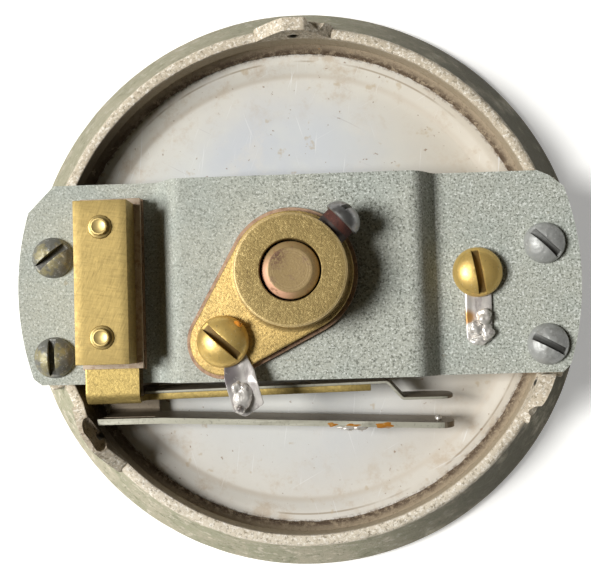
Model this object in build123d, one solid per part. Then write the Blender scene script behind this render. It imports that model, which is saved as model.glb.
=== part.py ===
from build123d import *
import os
from math import acos, cos, radians, sin, tan

# Solid-back carbon transmitter (microphone) unit of a hand-held set, with its press-to-talk contact springs.
# Millimetres. The origin is the centre of the front face, which lies on Z = 0. +Z points to the open back,
# +X runs along the bridge to the single terminal screw, and the contact springs are on the -Y side.

# Cast faceplate: a shallow cup, open at the back, with a perforated front
ring_foot_radius = 35.0
ring_foot_z = 1.6
ring_foot_round = 1.6
rim_outer_radius = 31.3
rim_inner_radius = 30.1
rim_z = 9.0
front_thickness = 1.2
ledge_radius = 28.2
ledge_z = 3.0
sound_hole_radius = 1.6
sound_hole_rings = ((0.0, 1), (6.2, 6), (12.4, 12), (18.6, 18))

# Three ears on the rim, each with a threaded hole for the body screws of the handset
ear_angles = (90.4, 215.4, 335.4)
ear_height = 3.3
ear_base_width = 9.4
ear_top_width = 2.2
ear_root_depth = 1.0
ear_hole_radius = 0.8
ear_hole_z = 9.5
ear_bridge_gap = 0.2

# Lugs inside and under the rim that carry the bridge ends
lug_inner_radius = 26.8
lug_outer_radius = 33.0
lug_low_z = 5.3
lug_half_width = 11.0

# Bridge: a bent strip across the back, its ends cut to a circle
bridge_x = -0.5
bridge_low_y = -11.35
bridge_high_y = 12.65
bridge_end_radius = 33.7
bridge_thickness = 1.5
bridge_rise = 3.4
bridge_slope = 57.0
bridge_foot_half = 16.6
bridge_inner_bend = 0.8
bridge_corner_cut = ((-29.7, 12.65), (-32.9, 9.4))
bridge_corner_rounds = (1.0, 1.0, 2.6)
bridge_top_z = rim_z + bridge_thickness
crest_low_z = rim_z + bridge_rise
crest_top_z = crest_low_z + bridge_thickness
bridge_mid_y = (bridge_low_y + bridge_high_y) / 2

# Bridge screws, round slotted heads: x from the bridge centre, y, slot direction in degrees
bridge_screw_places = ((-29.4, 3.95, 38.0), (-29.4, -8.05, 91.0), (29.4, 3.95, -45.0), (29.4, -8.0, -28.0))
steel_head_radius = 2.45
steel_head_height = 1.9
steel_shank_radius = 1.2
steel_slot = (0.75, 0.95)
screw_gap = 0.05
bridge_screw_tip_z = 5.9

# Rubber and diaphragm
screen_radius = 27.0
screen_thickness = 0.25
gasket_inner_radius = 28.3
gasket_outer_radius = 30.0
gasket_thickness = 0.7
diaphragm_radius = 29.5
diaphragm_thickness = 0.5
diaphragm_rim_z = 3.85
diaphragm_drop = 0.9
diaphragm_step_outer = 28.2
diaphragm_step_inner = 26.6
edge_gasket_outer = 30.05
edge_gasket_bore = 29.65
edge_gasket_lip = 29.15
edge_gasket_lip_z = 4.5
edge_gasket_top_z = 5.1

# Carbon button, centred on the clamp axis
clamp_x = -0.9
clamp_y = 1.1
cup_radius = 7.9
cup_bore = 6.9
cup_front_z = 5.5
cup_floor_z = 9.8
cup_back_z = 11.0
electrode_radius = 6.3
front_electrode_z = (5.9, 6.5)
front_carbon_z = (6.5, 7.1)
granules_z = (7.25, 8.35)
rear_carbon_z = (8.35, 8.95)
rear_electrode_z = (8.95, cup_floor_z)
granules_radius = 6.8
mica_thickness = 0.15
clamp_ring_lip_radius = 7.2
clamp_ring_bore = 7.95
clamp_ring_radius = 8.9
clamp_ring_z = (4.75, 7.2)
stud_radius = 1.2
stud_tip_z = 1.7
stud_washer_radius = 2.6
stud_washer_thickness = 0.3
stud_nut_width = 4.5
stud_nut_height = 0.85

# Electrode post, its insulation and the brass clamp that grips it
post_radius = 3.25
post_top_z = 20.4
post_chamfer = 0.7
post_collar_radius = 5.0
post_collar_top_z = 11.7
post_stub_radius = 1.5
post_bush_bore = 3.35
post_bush_radius = 4.4
post_bush_flange_radius = 7.0
insulator_thickness = 0.8
insulator_big_radius = 7.65
insulator_tail_radius = 4.4
flange_thickness = 1.2
flange_big_radius = 7.1
flange_tail_radius = 3.9
tail_distance = 11.2
tail_direction = 223.9
boss_radius = 6.4
boss_top_z = 20.5
boss_shoulder = 0.4
clamp_bore = 3.35
insulator_top_z = crest_top_z + insulator_thickness
flange_top_z = insulator_top_z + flange_thickness

# Set screw through the side of the clamp, opposite the tail
set_screw_direction = tail_direction - 180.0
set_screw_z = 17.9
set_screw_head_radius = 2.3
set_screw_head_height = 2.05
set_screw_seat = 6.2
steel_washer_thickness = 0.75
fibre_washer_thickness = 1.0
set_screw_washer_radius = 1.9
set_screw_head_at = set_screw_seat + steel_washer_thickness + fibre_washer_thickness

# Brass terminal screws, with solder tags and nuts
brass_head_radius = 3.0
brass_head_height = 2.1
brass_shank_radius = 1.4
brass_slot = (0.95, 1.15)
tag_thickness = 0.5
nut_width = 5.0
nut_height = 1.7
tail_slot_direction = -42.5
tail_tongue = (
    (-8.9, -7.6), (-6.5, -7.8), (-5.6, -9.6), (-4.4, -14.1), (-6.9, -15.6), (-8.2, -14.6), (-8.9, -11.0),
)
tail_bush_radius = 2.4
tail_bush_flange_radius = 3.4
terminal_x = 20.85
terminal_y = 0.7
terminal_slot_direction = 99.2
terminal_tongue_width = 3.2
terminal_tongue_end_y = -7.9
terminal_barrel_start_y = -3.9

# Clamp bar, and the fibre sheets above and below the two bent flanges that it holds
bar_x = -22.6
bar_y = 0.48
bar_width = 6.2
bar_length = 18.8
bar_thickness = 4.8
bar_edge = 0.15
sheet_margin = 0.85
lower_sheet_thickness = 0.8
upper_sheet_thickness = 0.6
bar_screw_pitch = 12.6
bar_screw_radius = 1.0
bar_screw_stake = (1.25, 0.95, 0.8)
bar_screw_head_radius = 1.9
bar_screw_head_z = (5.9, 7.1)
bar_screw_slot = (0.7, 0.6)
bar_bush_radius = 1.55

# Spring pack. Its own frame leans: x runs along the springs, y goes from the outer face of the bracket leg
# towards the bridge, and z is up the leaning springs.
pack_lean = 7.6
pack_y = -13.5
pack_z = 9.4

# Brass bracket: flange under the bar, leg down past the bridge's edge, and an arm that backs the upper spring
bracket_thickness = 0.85
bracket_x = (-25.7, -19.5)
bracket_bend = 0.5
bracket_bottom = -3.6
arm_end_x = 7.9
arm_skew = 0.95
arm_heights = (-3.4, -0.1)

# Upper contact spring, whose flange lies under the bracket's
upper_thickness = 0.3
upper_flange_x = (-25.7, -19.15)
upper_bend = 0.25
upper_heights = (-3.6, 0.3)
upper_hinge_x = -18.8
upper_joggle_x = (9.9, 11.7)
upper_joggle_bend = 0.4
upper_tip_y = -0.53
upper_tip_x = 17.75
upper_tip_round = 1.5
upper_contact_radius = 0.6
upper_contact_height = 0.15
leaf_gap = 0.03
hinge_gap = 0.06

# Lower spring, which the press-to-talk bar pushes towards the upper one. Its foot runs in under the bridge.
press_thickness = 0.7
press_face_y = -2.1
press_heights = (-3.8, 0.4)
press_root_start_x = -25.1
press_corner = (1.2, 3.0)
press_hinge_x = -17.17
press_splay = 2.44
press_tip_x = 17.9
press_tip_round = 2.0
press_bend = 0.6
foot_x = (-24.4, -18.3)
foot_low_z = 4.6
foot_end_y = 4.8
contact_x = 16.0
contact_height = -1.7
contact_radius = 0.42
contact_shank_radius = 0.3
contact_projection = 0.5
solder_x = 5.6
solder_height = -0.6
solder_radius = 0.45
solder_length = 3.4

# Fibre block between the foot and the bridge, with countersunk screws that hold the foot to it
block_y = (-9.3, 9.3)
foot_screw_ys = (-1.6, 2.4)
foot_screw_radius = 0.8
foot_screw_head_radius = 1.45
foot_screw_top_z = 8.0

upper_flange_low_z = bridge_top_z + lower_sheet_thickness
bracket_low_z = upper_flange_low_z + upper_thickness
bracket_high_z = bracket_low_z + bracket_thickness
bar_low_z = bracket_high_z + upper_sheet_thickness
bar_high_z = bar_low_z + bar_thickness
bar_end_y = bar_y + bar_length / 2
foot_high_z = foot_low_z + press_thickness
press_mid_y = press_face_y - press_thickness / 2
upper_mid_y = bracket_thickness + upper_thickness / 2
pack = Location((0, pack_y, pack_z), (pack_lean, 0, 0))
clamp_axis = Pos(clamp_x, clamp_y, 0)
tail_x = clamp_x + tail_distance * cos(radians(tail_direction))
tail_y = clamp_y + tail_distance * sin(radians(tail_direction))


def disc(radius, low_z, high_z, x=0.0, y=0.0):
    """A cylinder about a vertical axis, from low_z to high_z."""
    return Pos(x, y, (low_z + high_z) / 2) * Cylinder(radius, high_z - low_z)


def tube(bore, radius, low_z, high_z, x=0.0, y=0.0):
    """A round washer or sleeve about a vertical axis."""
    return disc(radius, low_z, high_z, x, y) - disc(bore, low_z - 1, high_z + 1, x, y)


def block(x_range, y_range, z_range):
    """A box between two values on each axis."""
    spans = [high - low for low, high in (x_range, y_range, z_range)]
    middles = [(high + low) / 2 for low, high in (x_range, y_range, z_range)]
    return Pos(*middles) * Box(*spans)


def turned(points):
    """A solid of revolution about Z from a closed outline of (radius, z) points."""
    return revolve(Plane.XZ * make_face(Polyline(*points, close=True)), Axis.Z)


def hex_nut(width, bore, low_z, high_z, x=0.0, y=0.0):
    """A hexagonal nut, measured across its flats."""
    outline = RegularPolygon(width / 2, 6, major_radius=False)
    return Pos(x, y, low_z) * extrude(outline, high_z - low_z) - disc(bore, low_z - 1, high_z + 1, x, y)


def round_head_screw(head_radius, head_height, shank_radius, shank_length, slot, slot_direction):
    """A slotted round-head screw: the head stands on Z = 0 and the shank hangs below it."""
    skirt = 0.3 * head_height
    profile = Line((0, 0), (head_radius, 0))
    profile += Line((head_radius, 0), (head_radius, skirt))
    profile += ThreePointArc(
        (head_radius, skirt),
        (head_radius * 0.72, skirt + (head_height - skirt) * 0.68),
        (0, head_height),
    )
    profile += Line((0, head_height), (0, 0))
    head = revolve(Plane.XZ * make_face(profile), Axis.Z)
    slot_width, slot_depth = slot
    cutter = Pos(0, 0, head_height) * Box(3 * head_radius, slot_width, 2 * slot_depth)
    head -= Rot(0, 0, slot_direction) * cutter
    return head + disc(shank_radius, -shank_length, 0.1)


def teardrop(big_radius, tail_radius, low_z, high_z):
    """A plate about the clamp axis whose tail reaches the tail screw."""
    tangent = acos((big_radius - tail_radius) / tail_distance)
    big_x, big_y = big_radius * cos(tangent), big_radius * sin(tangent)
    tail_tangent_x = tail_distance + tail_radius * cos(tangent)
    tail_tangent_y = tail_radius * sin(tangent)
    outline = Line((big_x, big_y), (tail_tangent_x, tail_tangent_y))
    outline += ThreePointArc(
        (tail_tangent_x, tail_tangent_y), (tail_distance + tail_radius, 0), (tail_tangent_x, -tail_tangent_y)
    )
    outline += Line((tail_tangent_x, -tail_tangent_y), (big_x, -big_y))
    outline += ThreePointArc((big_x, -big_y), (-big_radius, 0), (big_x, big_y))
    plate = extrude(make_face(outline), high_z - low_z)
    return Pos(clamp_x, clamp_y, low_z) * Rot(0, 0, tail_direction) * plate


def leaf_outline(points, thickness, bend=0.0):
    """The outline of a sheet of constant thickness that follows points, each bend with an inner radius."""
    directions = [(Vector(*b) - Vector(*a)).normalized() for a, b in zip(points, points[1:])]
    left, right, left_radii, right_radii = [], [], [], []
    for index, point in enumerate(points):
        before = directions[max(index - 1, 0)]
        after = directions[min(index, len(directions) - 1)]
        bisector = (before + after).normalized()
        normal = Vector(-bisector.Y, bisector.X)
        reach = thickness / 2 / bisector.dot(after)
        left.append((point[0] + normal.X * reach, point[1] + normal.Y * reach))
        right.append((point[0] - normal.X * reach, point[1] - normal.Y * reach))
        if 0 < index < len(points) - 1:
            turns_left = before.X * after.Y - before.Y * after.X > 0
            left_radii.append(bend if turns_left else bend + thickness)
            right_radii.append(bend + thickness if turns_left else bend)
    if not bend:
        return make_face(Polyline(*left, *reversed(right), close=True))
    sides = FilletPolyline(*left, radius=left_radii) + FilletPolyline(*right, radius=right_radii)
    return make_face(sides + Line(left[0], right[0]) + Line(left[-1], right[-1]))


def leaf(points, thickness, heights, bend=0.0):
    """A leaf standing in the spring pack between two heights, along points in the pack's x-y plane."""
    low, high = heights
    return Pos(0, 0, low) * extrude(leaf_outline(points, thickness, bend), high - low)


def pack_point(y, z):
    """The (Y, Z) place of a point of the spring pack."""
    lean = radians(pack_lean)
    return (pack_y + y * cos(lean) - z * sin(lean), pack_z + y * sin(lean) + z * cos(lean))


def bent_flange(far_y, flange_z, leaf_y, leaf_end, thickness, bend, x_range):
    """A flat flange at flange_z, bent into a leaf that stands in the spring pack and ends at leaf_end."""
    end_y, end_z = pack_point(leaf_y, leaf_end)
    corner_y = end_y - (flange_z - end_z) * tan(radians(pack_lean))
    path = [(far_y, flange_z), (corner_y, flange_z), (end_y, end_z)]
    low_x, high_x = x_range
    return Pos(low_x, 0, 0) * extrude(Plane.YZ * leaf_outline(path, thickness, bend), high_x - low_x)


def rounded_tip(blade, tip_x, radius, heights):
    """Rounds the free end of a leaf, seen from its broad side."""
    low, high = heights
    keep = block((tip_x - 80, tip_x - radius), (-20, 20), (low - 1, high + 1))
    keep += block((tip_x - 80, tip_x), (-20, 20), (low + radius, high - radius))
    for height in (low + radius, high - radius):
        keep += Pos(tip_x - radius, 0, height) * Rot(90, 0, 0) * Cylinder(radius, 40)
    return blade & keep


def along_y(radius, low_y, high_y, x, z):
    """A cylinder through the thickness of the spring pack."""
    return Pos(x, (low_y + high_y) / 2, z) * Rot(90, 0, 0) * Cylinder(radius, high_y - low_y)


def make_faceplate():
    foot_inner = ring_foot_radius - ring_foot_round
    corner = ring_foot_round * sin(radians(45))
    arc_middle = (foot_inner + corner, ring_foot_z - corner)
    outline = Line((0, 0), (foot_inner, 0))
    outline += ThreePointArc((foot_inner, 0), arc_middle, (ring_foot_radius, ring_foot_z))
    outline += Polyline(
        (ring_foot_radius, ring_foot_z),
        (rim_outer_radius, rim_z),
        (rim_inner_radius, rim_z),
        (rim_inner_radius, ledge_z),
        (ledge_radius, ledge_z),
        (ledge_radius, front_thickness),
        (0, front_thickness),
        (0, 0),
    )
    cup = revolve(Plane.XZ * make_face(outline), Axis.Z)
    lug = tube(lug_inner_radius, lug_outer_radius, lug_low_z, rim_z)
    lug_y = (bridge_mid_y - lug_half_width, bridge_mid_y + lug_half_width)
    cup += lug & block((lug_inner_radius / 2, 40), lug_y, (lug_low_z, rim_z))
    cup += lug & block((-40, -lug_inner_radius / 2), lug_y, (lug_low_z, rim_z))
    wall = tube(rim_inner_radius, rim_outer_radius, rim_z - ear_root_depth, rim_z + ear_height)
    for angle in ear_angles:
        radial = Vector(cos(radians(angle)), sin(radians(angle)), 0)
        tangent = Vector(-radial.Y, radial.X, 0)
        face_plane = Plane(origin=(0, 0, rim_z), x_dir=tangent, z_dir=radial)
        trapezoid = Polyline(
            (-ear_base_width / 2, -ear_root_depth),
            (ear_base_width / 2, -ear_root_depth),
            (ear_base_width / 2, 0),
            (ear_top_width / 2, ear_height),
            (-ear_top_width / 2, ear_height),
            (-ear_base_width / 2, 0),
            close=True,
        )
        below_bridge = block((-40, 40), (-40, bridge_low_y - ear_bridge_gap), (0, 40))
        ear = extrude(face_plane * make_face(trapezoid), 40) & wall
        cup += ear if radial.Y > 0 else ear & below_bridge
        hole_plane = Plane(origin=radial * rim_inner_radius + Vector(0, 0, ear_hole_z), z_dir=radial)
        cup -= hole_plane * Cylinder(ear_hole_radius, 8)
    for ring_radius, count in sound_hole_rings:
        for index in range(count):
            angle = radians(360.0 * index / count)
            hole_x, hole_y = ring_radius * cos(angle), ring_radius * sin(angle)
            cup -= disc(sound_hole_radius, -1, front_thickness + 1, hole_x, hole_y)
    for offset_x, screw_y, _ in bridge_screw_places:
        hole_radius = steel_shank_radius + screw_gap
        cup -= disc(hole_radius, bridge_screw_tip_z - 0.3, rim_z + 1, bridge_x + offset_x, screw_y)
    return cup


def make_diaphragm():
    low = diaphragm_rim_z
    high = diaphragm_rim_z + diaphragm_thickness
    middle_low = low - diaphragm_drop
    middle_high = high - diaphragm_drop
    plate = turned(
        [
            (0, middle_low),
            (diaphragm_step_inner, middle_low),
            (diaphragm_step_outer, low),
            (diaphragm_radius, low),
            (diaphragm_radius, high),
            (diaphragm_step_outer - 0.14, high),
            (diaphragm_step_inner - 0.14, middle_high),
            (0, middle_high),
        ]
    )
    return plate - disc(stud_radius + screw_gap, 0, rim_z, clamp_x, clamp_y)


def make_bridge():
    shift = bridge_thickness * tan(radians(bridge_slope / 2))
    crest_half = bridge_foot_half - bridge_rise / tan(radians(bridge_slope))
    outer_bend = bridge_inner_bend + bridge_thickness
    reach = ring_foot_radius + 2
    top = FilletPolyline(
        (-reach, bridge_thickness),
        (-bridge_foot_half, bridge_thickness),
        (-crest_half, bridge_rise + bridge_thickness),
        (crest_half, bridge_rise + bridge_thickness),
        (bridge_foot_half, bridge_thickness),
        (reach, bridge_thickness),
        radius=[bridge_inner_bend, outer_bend, outer_bend, bridge_inner_bend],
    )
    bottom = FilletPolyline(
        (-reach, 0),
        (shift - bridge_foot_half, 0),
        (shift - crest_half, bridge_rise),
        (crest_half - shift, bridge_rise),
        (bridge_foot_half - shift, 0),
        (reach, 0),
        radius=[outer_bend, bridge_inner_bend, bridge_inner_bend, outer_bend],
    )
    ends = Line((-reach, 0), (-reach, bridge_thickness)) + Line((reach, 0), (reach, bridge_thickness))
    profile = make_face(top + bottom + ends)
    width = bridge_high_y - bridge_low_y
    strip_solid = Pos(bridge_x, bridge_high_y, rim_z) * extrude(Plane.XZ * profile, width)
    plan = Pos(bridge_x, 0) * Circle(bridge_end_radius)
    plan &= Pos(bridge_x, bridge_mid_y) * Rectangle(2 * reach, width)
    (x1, y1), (x2, y2) = bridge_corner_cut
    plan -= make_face(Polyline((x1, y1), (x2, y2), (x2 - 8, y2), (x2 - 8, y1 + 8), (x1, y1 + 8), close=True))
    corners = plan.vertices().sort_by(Axis.X)
    bottom_left = [v for v in corners if v.X < 0 and v.Y < 0]
    bottom_right = [v for v in corners if v.X > 0 and v.Y < 0]
    top_right = [v for v in corners if v.X > 0 and v.Y > 0]
    for vertices, radius in zip((bottom_left, bottom_right, top_right), bridge_corner_rounds):
        nearest = [min(plan.vertices(), key=lambda v: (v.center() - vertices[-1].center()).length)]
        plan = fillet(nearest, radius)
    bridge = strip_solid & (Pos(0, 0, rim_z - 1) * extrude(plan, 10))
    for offset_x, screw_y, _ in bridge_screw_places:
        bridge -= disc(steel_shank_radius + 0.2, 0, 30, bridge_x + offset_x, screw_y)
    bridge -= disc(post_bush_radius + screw_gap, 0, 30, clamp_x, clamp_y)
    bridge -= disc(tail_bush_radius + screw_gap, 0, 30, tail_x, tail_y)
    bridge -= disc(brass_shank_radius + 0.1, 0, 30, terminal_x, terminal_y)
    for screw_y in bar_screw_ys():
        bridge -= disc(bar_bush_radius + screw_gap, 0, 30, bar_x, screw_y)
    return bridge


def bar_screw_ys():
    return (bar_y + bar_screw_pitch / 2, bar_y - bar_screw_pitch / 2)


def make_bridge_screws():
    screws = []
    for offset_x, screw_y, slot_direction in bridge_screw_places:
        screw = round_head_screw(
            steel_head_radius,
            steel_head_height,
            steel_shank_radius,
            bridge_top_z - bridge_screw_tip_z,
            steel_slot,
            slot_direction,
        )
        screws.append(Pos(bridge_x + offset_x, screw_y, bridge_top_z) * screw)
    return Compound(screws)


def make_button():
    """The carbon button's pieces, by node name."""
    pieces = {}
    cup = disc(cup_radius, cup_front_z, cup_back_z) - disc(cup_bore, cup_front_z - 1, cup_floor_z)
    pieces["button_cup"] = cup - disc(post_stub_radius + screw_gap, cup_front_z, cup_back_z + 1)
    lip_low, skirt_high = clamp_ring_z
    mica_low = cup_front_z - mica_thickness
    ring = tube(clamp_ring_lip_radius, clamp_ring_radius, lip_low, mica_low)
    ring += tube(clamp_ring_bore, clamp_ring_radius, mica_low, skirt_high)
    pieces["cup_clamp_ring"] = ring
    pieces["mica_washer"] = tube(stud_radius + 0.1, cup_radius, mica_low, cup_front_z)
    front = disc(electrode_radius, *front_electrode_z)
    front += disc(stud_radius, stud_tip_z, front_electrode_z[0] + 0.1)
    pieces["front_electrode"] = front
    pieces["front_carbon_disc"] = disc(electrode_radius, *front_carbon_z)
    pieces["carbon_granules"] = disc(granules_radius, *granules_z)
    pieces["rear_carbon_disc"] = disc(electrode_radius, *rear_carbon_z)
    pieces["rear_electrode"] = tube(post_stub_radius + screw_gap, electrode_radius, *rear_electrode_z)
    plate_low = diaphragm_rim_z - diaphragm_drop
    plate_high = plate_low + diaphragm_thickness
    bore = stud_radius + screw_gap
    front_nut_top = plate_low - stud_washer_thickness
    rear_nut_low = plate_high + stud_washer_thickness
    front_washer = tube(bore, stud_washer_radius, front_nut_top, plate_low)
    rear_washer = tube(bore, stud_washer_radius, plate_high, rear_nut_low)
    pieces["stud_washers"] = Compound([front_washer, rear_washer])
    front_nut = hex_nut(stud_nut_width, bore, front_nut_top - stud_nut_height, front_nut_top)
    rear_nut = hex_nut(stud_nut_width, bore, rear_nut_low, rear_nut_low + stud_nut_height)
    pieces["stud_nuts"] = Compound([front_nut, rear_nut])
    return {name: clamp_axis * piece for name, piece in pieces.items()}


def make_electrode_post():
    shaft = disc(post_radius, cup_back_z, post_top_z)
    shaft = chamfer(shaft.edges().sort_by(Axis.Z)[-1], post_chamfer)
    post = shaft + disc(post_collar_radius, cup_back_z, post_collar_top_z)
    return clamp_axis * (post + disc(post_stub_radius, rear_electrode_z[0] + 0.05, cup_back_z + 0.1))


def make_post_bush():
    sleeve = tube(post_bush_bore, post_bush_radius, post_collar_top_z, crest_top_z)
    flange = tube(post_bush_bore, post_bush_flange_radius, post_collar_top_z, crest_low_z)
    return clamp_axis * (sleeve + flange)


def make_clamp_insulator():
    sheet = teardrop(insulator_big_radius, insulator_tail_radius, crest_top_z, insulator_top_z)
    sheet -= disc(clamp_bore + 0.1, 0, 30, clamp_x, clamp_y)
    return sheet - disc(brass_shank_radius + 0.1, 0, 30, tail_x, tail_y)


def toward_set_screw(distance):
    """Frame on the set screw's axis at a distance from the post, its Z pointing outward."""
    angle = radians(set_screw_direction)
    outward = Vector(cos(angle), sin(angle), 0)
    origin = Vector(clamp_x, clamp_y, set_screw_z) + outward * distance
    return Plane(origin=origin, x_dir=(0, 0, 1), z_dir=outward)


def make_boss_clamp():
    boss = disc(boss_radius, insulator_top_z, boss_top_z)
    boss = clamp_axis * fillet(boss.edges().sort_by(Axis.Z)[-1], boss_shoulder)
    boss -= toward_set_screw(set_screw_seat) * Pos(0, 0, 4) * Box(12, 12, 8)
    clamp = teardrop(flange_big_radius, flange_tail_radius, insulator_top_z, flange_top_z)
    clamp += boss
    clamp -= disc(clamp_bore, 0, 30, clamp_x, clamp_y)
    clamp -= disc(brass_shank_radius + screw_gap, 0, 30, tail_x, tail_y)
    return clamp - toward_set_screw(0) * Pos(0, 0, 5) * Cylinder(steel_shank_radius + screw_gap, 10)


def make_set_screw():
    """The set screw and its two washers, by node name."""
    length = set_screw_head_at - post_radius - screw_gap
    screw = round_head_screw(
        set_screw_head_radius, set_screw_head_height, steel_shank_radius, length, (0.7, 0.95), 20.0
    )
    bore = steel_shank_radius + screw_gap
    steel = tube(bore, set_screw_washer_radius, 0, steel_washer_thickness)
    fibre = tube(bore, set_screw_washer_radius, 0, fibre_washer_thickness)
    return {
        "clamp_set_screw": toward_set_screw(set_screw_head_at) * screw,
        "set_screw_steel_washer": toward_set_screw(set_screw_seat) * steel,
        "set_screw_fibre_washer": toward_set_screw(set_screw_seat + steel_washer_thickness) * fibre,
    }


def brass_screw(length, slot_direction):
    """One of the two brass terminal screws, its head standing on Z = 0."""
    return round_head_screw(
        brass_head_radius, brass_head_height, brass_shank_radius, length, brass_slot, slot_direction
    )


def make_tail_terminal():
    """The terminal on the clamp's tail, by node name."""
    tag_top = flange_top_z + tag_thickness
    washer_low = post_collar_top_z
    nut_low = washer_low - nut_height
    bore = brass_shank_radius + screw_gap
    eye = disc(brass_head_radius - 0.3, flange_top_z, tag_top, tail_x, tail_y)
    tongue = extrude(make_face(Polyline(*tail_tongue, close=True)), tag_thickness)
    tag = eye + Pos(0, 0, flange_top_z) * tongue
    blob = Pos(-6.7, -13.5, tag_top) * (Sphere(1.3) & Pos(0, 0, 5) * Box(10, 10, 10))
    bush = tube(bore, tail_bush_radius, washer_low, crest_top_z, tail_x, tail_y)
    bush += tube(bore, tail_bush_flange_radius, washer_low, crest_low_z, tail_x, tail_y)
    return {
        "tail_screw": Pos(tail_x, tail_y, tag_top)
        * brass_screw(tag_top - nut_low + 0.2, tail_slot_direction),
        "tail_tag": tag - disc(bore, 0, 30, tail_x, tail_y),
        "tail_solder": blob,
        "tail_bush": bush,
        "tail_nut": hex_nut(nut_width, bore, nut_low, washer_low, tail_x, tail_y),
    }


def make_side_terminal():
    """The terminal that is screwed straight to the bridge, by node name."""
    tag_top = bridge_top_z + tag_thickness
    nut_low = rim_z - nut_height
    bore = brass_shank_radius + screw_gap
    half = terminal_tongue_width / 2
    tag = disc(brass_head_radius - 0.3, bridge_top_z, tag_top, terminal_x, terminal_y)
    tongue_x = (terminal_x - half, terminal_x + half)
    tag += block(tongue_x, (terminal_tongue_end_y, terminal_y), (bridge_top_z, tag_top))
    barrel_length = terminal_barrel_start_y - terminal_tongue_end_y
    barrel_y = (terminal_barrel_start_y + terminal_tongue_end_y) / 2
    barrel = Pos(terminal_x, barrel_y, tag_top) * Rot(90, 0, 0) * Cylinder(half, barrel_length - 0.4)
    solder = barrel & block((0, 40), (-40, 40), (tag_top, tag_top + 1.1))
    screw = brass_screw(tag_top - nut_low + 0.5, terminal_slot_direction)
    return {
        "terminal_screw": Pos(terminal_x, terminal_y, tag_top) * screw,
        "terminal_tag": tag - disc(bore, 0, 30, terminal_x, terminal_y),
        "terminal_solder": solder,
        "terminal_nut": hex_nut(nut_width, bore, nut_low, rim_z, terminal_x, terminal_y),
    }


def bar_plate(margin, low_z, high_z):
    """A plate the size of the clamp bar plus a margin all round."""
    half_x = bar_width / 2 + margin
    half_y = bar_length / 2 + margin
    return block((bar_x - half_x, bar_x + half_x), (bar_y - half_y, bar_y + half_y), (low_z, high_z))


def drilled_for_bar(plate, radius):
    """Cuts the two clamp-bar screw holes."""
    for screw_y in bar_screw_ys():
        plate -= disc(radius, 0, 30, bar_x, screw_y)
    return plate


def make_bar_stack():
    """The clamp bar, its fibre sheets, the fibre block and the fasteners, by node name."""
    bar = bar_plate(0, bar_low_z, bar_high_z)
    bar = fillet(bar.edges().filter_by(Axis.Z) + bar.faces().sort_by(Axis.Z)[-1].edges(), bar_edge)
    bush_hole = bar_bush_radius + screw_gap
    upper_sheet = bar_plate(sheet_margin, bracket_high_z, bar_low_z)
    lower_sheet = bar_plate(sheet_margin, bridge_top_z, upper_flange_low_z)
    spacer = block(foot_x, block_y, (foot_high_z, rim_z))
    head_low, head_high = bar_screw_head_z
    slot_width, slot_depth = bar_screw_slot
    stake_low, stake_high, stake_height = bar_screw_stake
    screws, bushes = [], []
    for screw_y in bar_screw_ys():
        shank = disc(bar_screw_radius, head_high - 0.1, bar_high_z + 0.1, bar_x, screw_y)
        stake = Pos(bar_x, screw_y, bar_high_z + stake_height / 2) * Cone(stake_low, stake_high, stake_height)
        head = disc(bar_screw_head_radius, head_low, head_high, bar_x, screw_y)
        slot_y = (screw_y - slot_width / 2, screw_y + slot_width / 2)
        head -= block((-40, 0), slot_y, (head_low - 1, head_low + slot_depth))
        screws.append(shank + stake + head)
        inner = bar_screw_radius + screw_gap
        bushes.append(tube(inner, bar_bush_radius, head_high, bar_low_z, bar_x, screw_y))
        spacer -= disc(bush_hole, 0, 30, bar_x, screw_y)
        spacer -= disc(bar_screw_head_radius + 0.1, 0, head_high, bar_x, screw_y)
    for screw_y in foot_screw_ys:
        spacer -= disc(foot_screw_radius + screw_gap, 0, foot_screw_top_z + 0.2, foot_middle_x(), screw_y)
    return {
        "clamp_bar": drilled_for_bar(bar, bar_screw_radius + screw_gap),
        "upper_bar_insulator": drilled_for_bar(upper_sheet, bush_hole),
        "lower_bar_insulator": drilled_for_bar(lower_sheet, bush_hole),
        "press_spring_block": spacer,
        "bar_screws": Compound(screws),
        "bar_bushes": Compound(bushes),
    }


def foot_middle_x():
    return (foot_x[0] + foot_x[1]) / 2


def make_spring_bracket():
    """Flange under the bar, leg bent down past the bridge, and the long arm that backs the upper spring."""
    half = bracket_thickness / 2
    flange_z = bracket_low_z + half
    bracket = bent_flange(
        bar_end_y, flange_z, half, bracket_bottom, bracket_thickness, bracket_bend, bracket_x
    )
    leg_edge = bracket_x[1]
    arm_points = [(leg_edge - 0.5, half), (leg_edge, half), skewed(half, arm_end_x)]
    arm = leaf(arm_points, bracket_thickness, arm_heights)
    return drilled_for_bar(bracket + pack * arm, bar_bush_radius + screw_gap)


def skewed(start_y, x):
    """The point at x on the line that leaves the bracket leg's edge at the arm's skew angle."""
    return (x, start_y + (x - bracket_x[1]) * tan(radians(arm_skew)))


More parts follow.
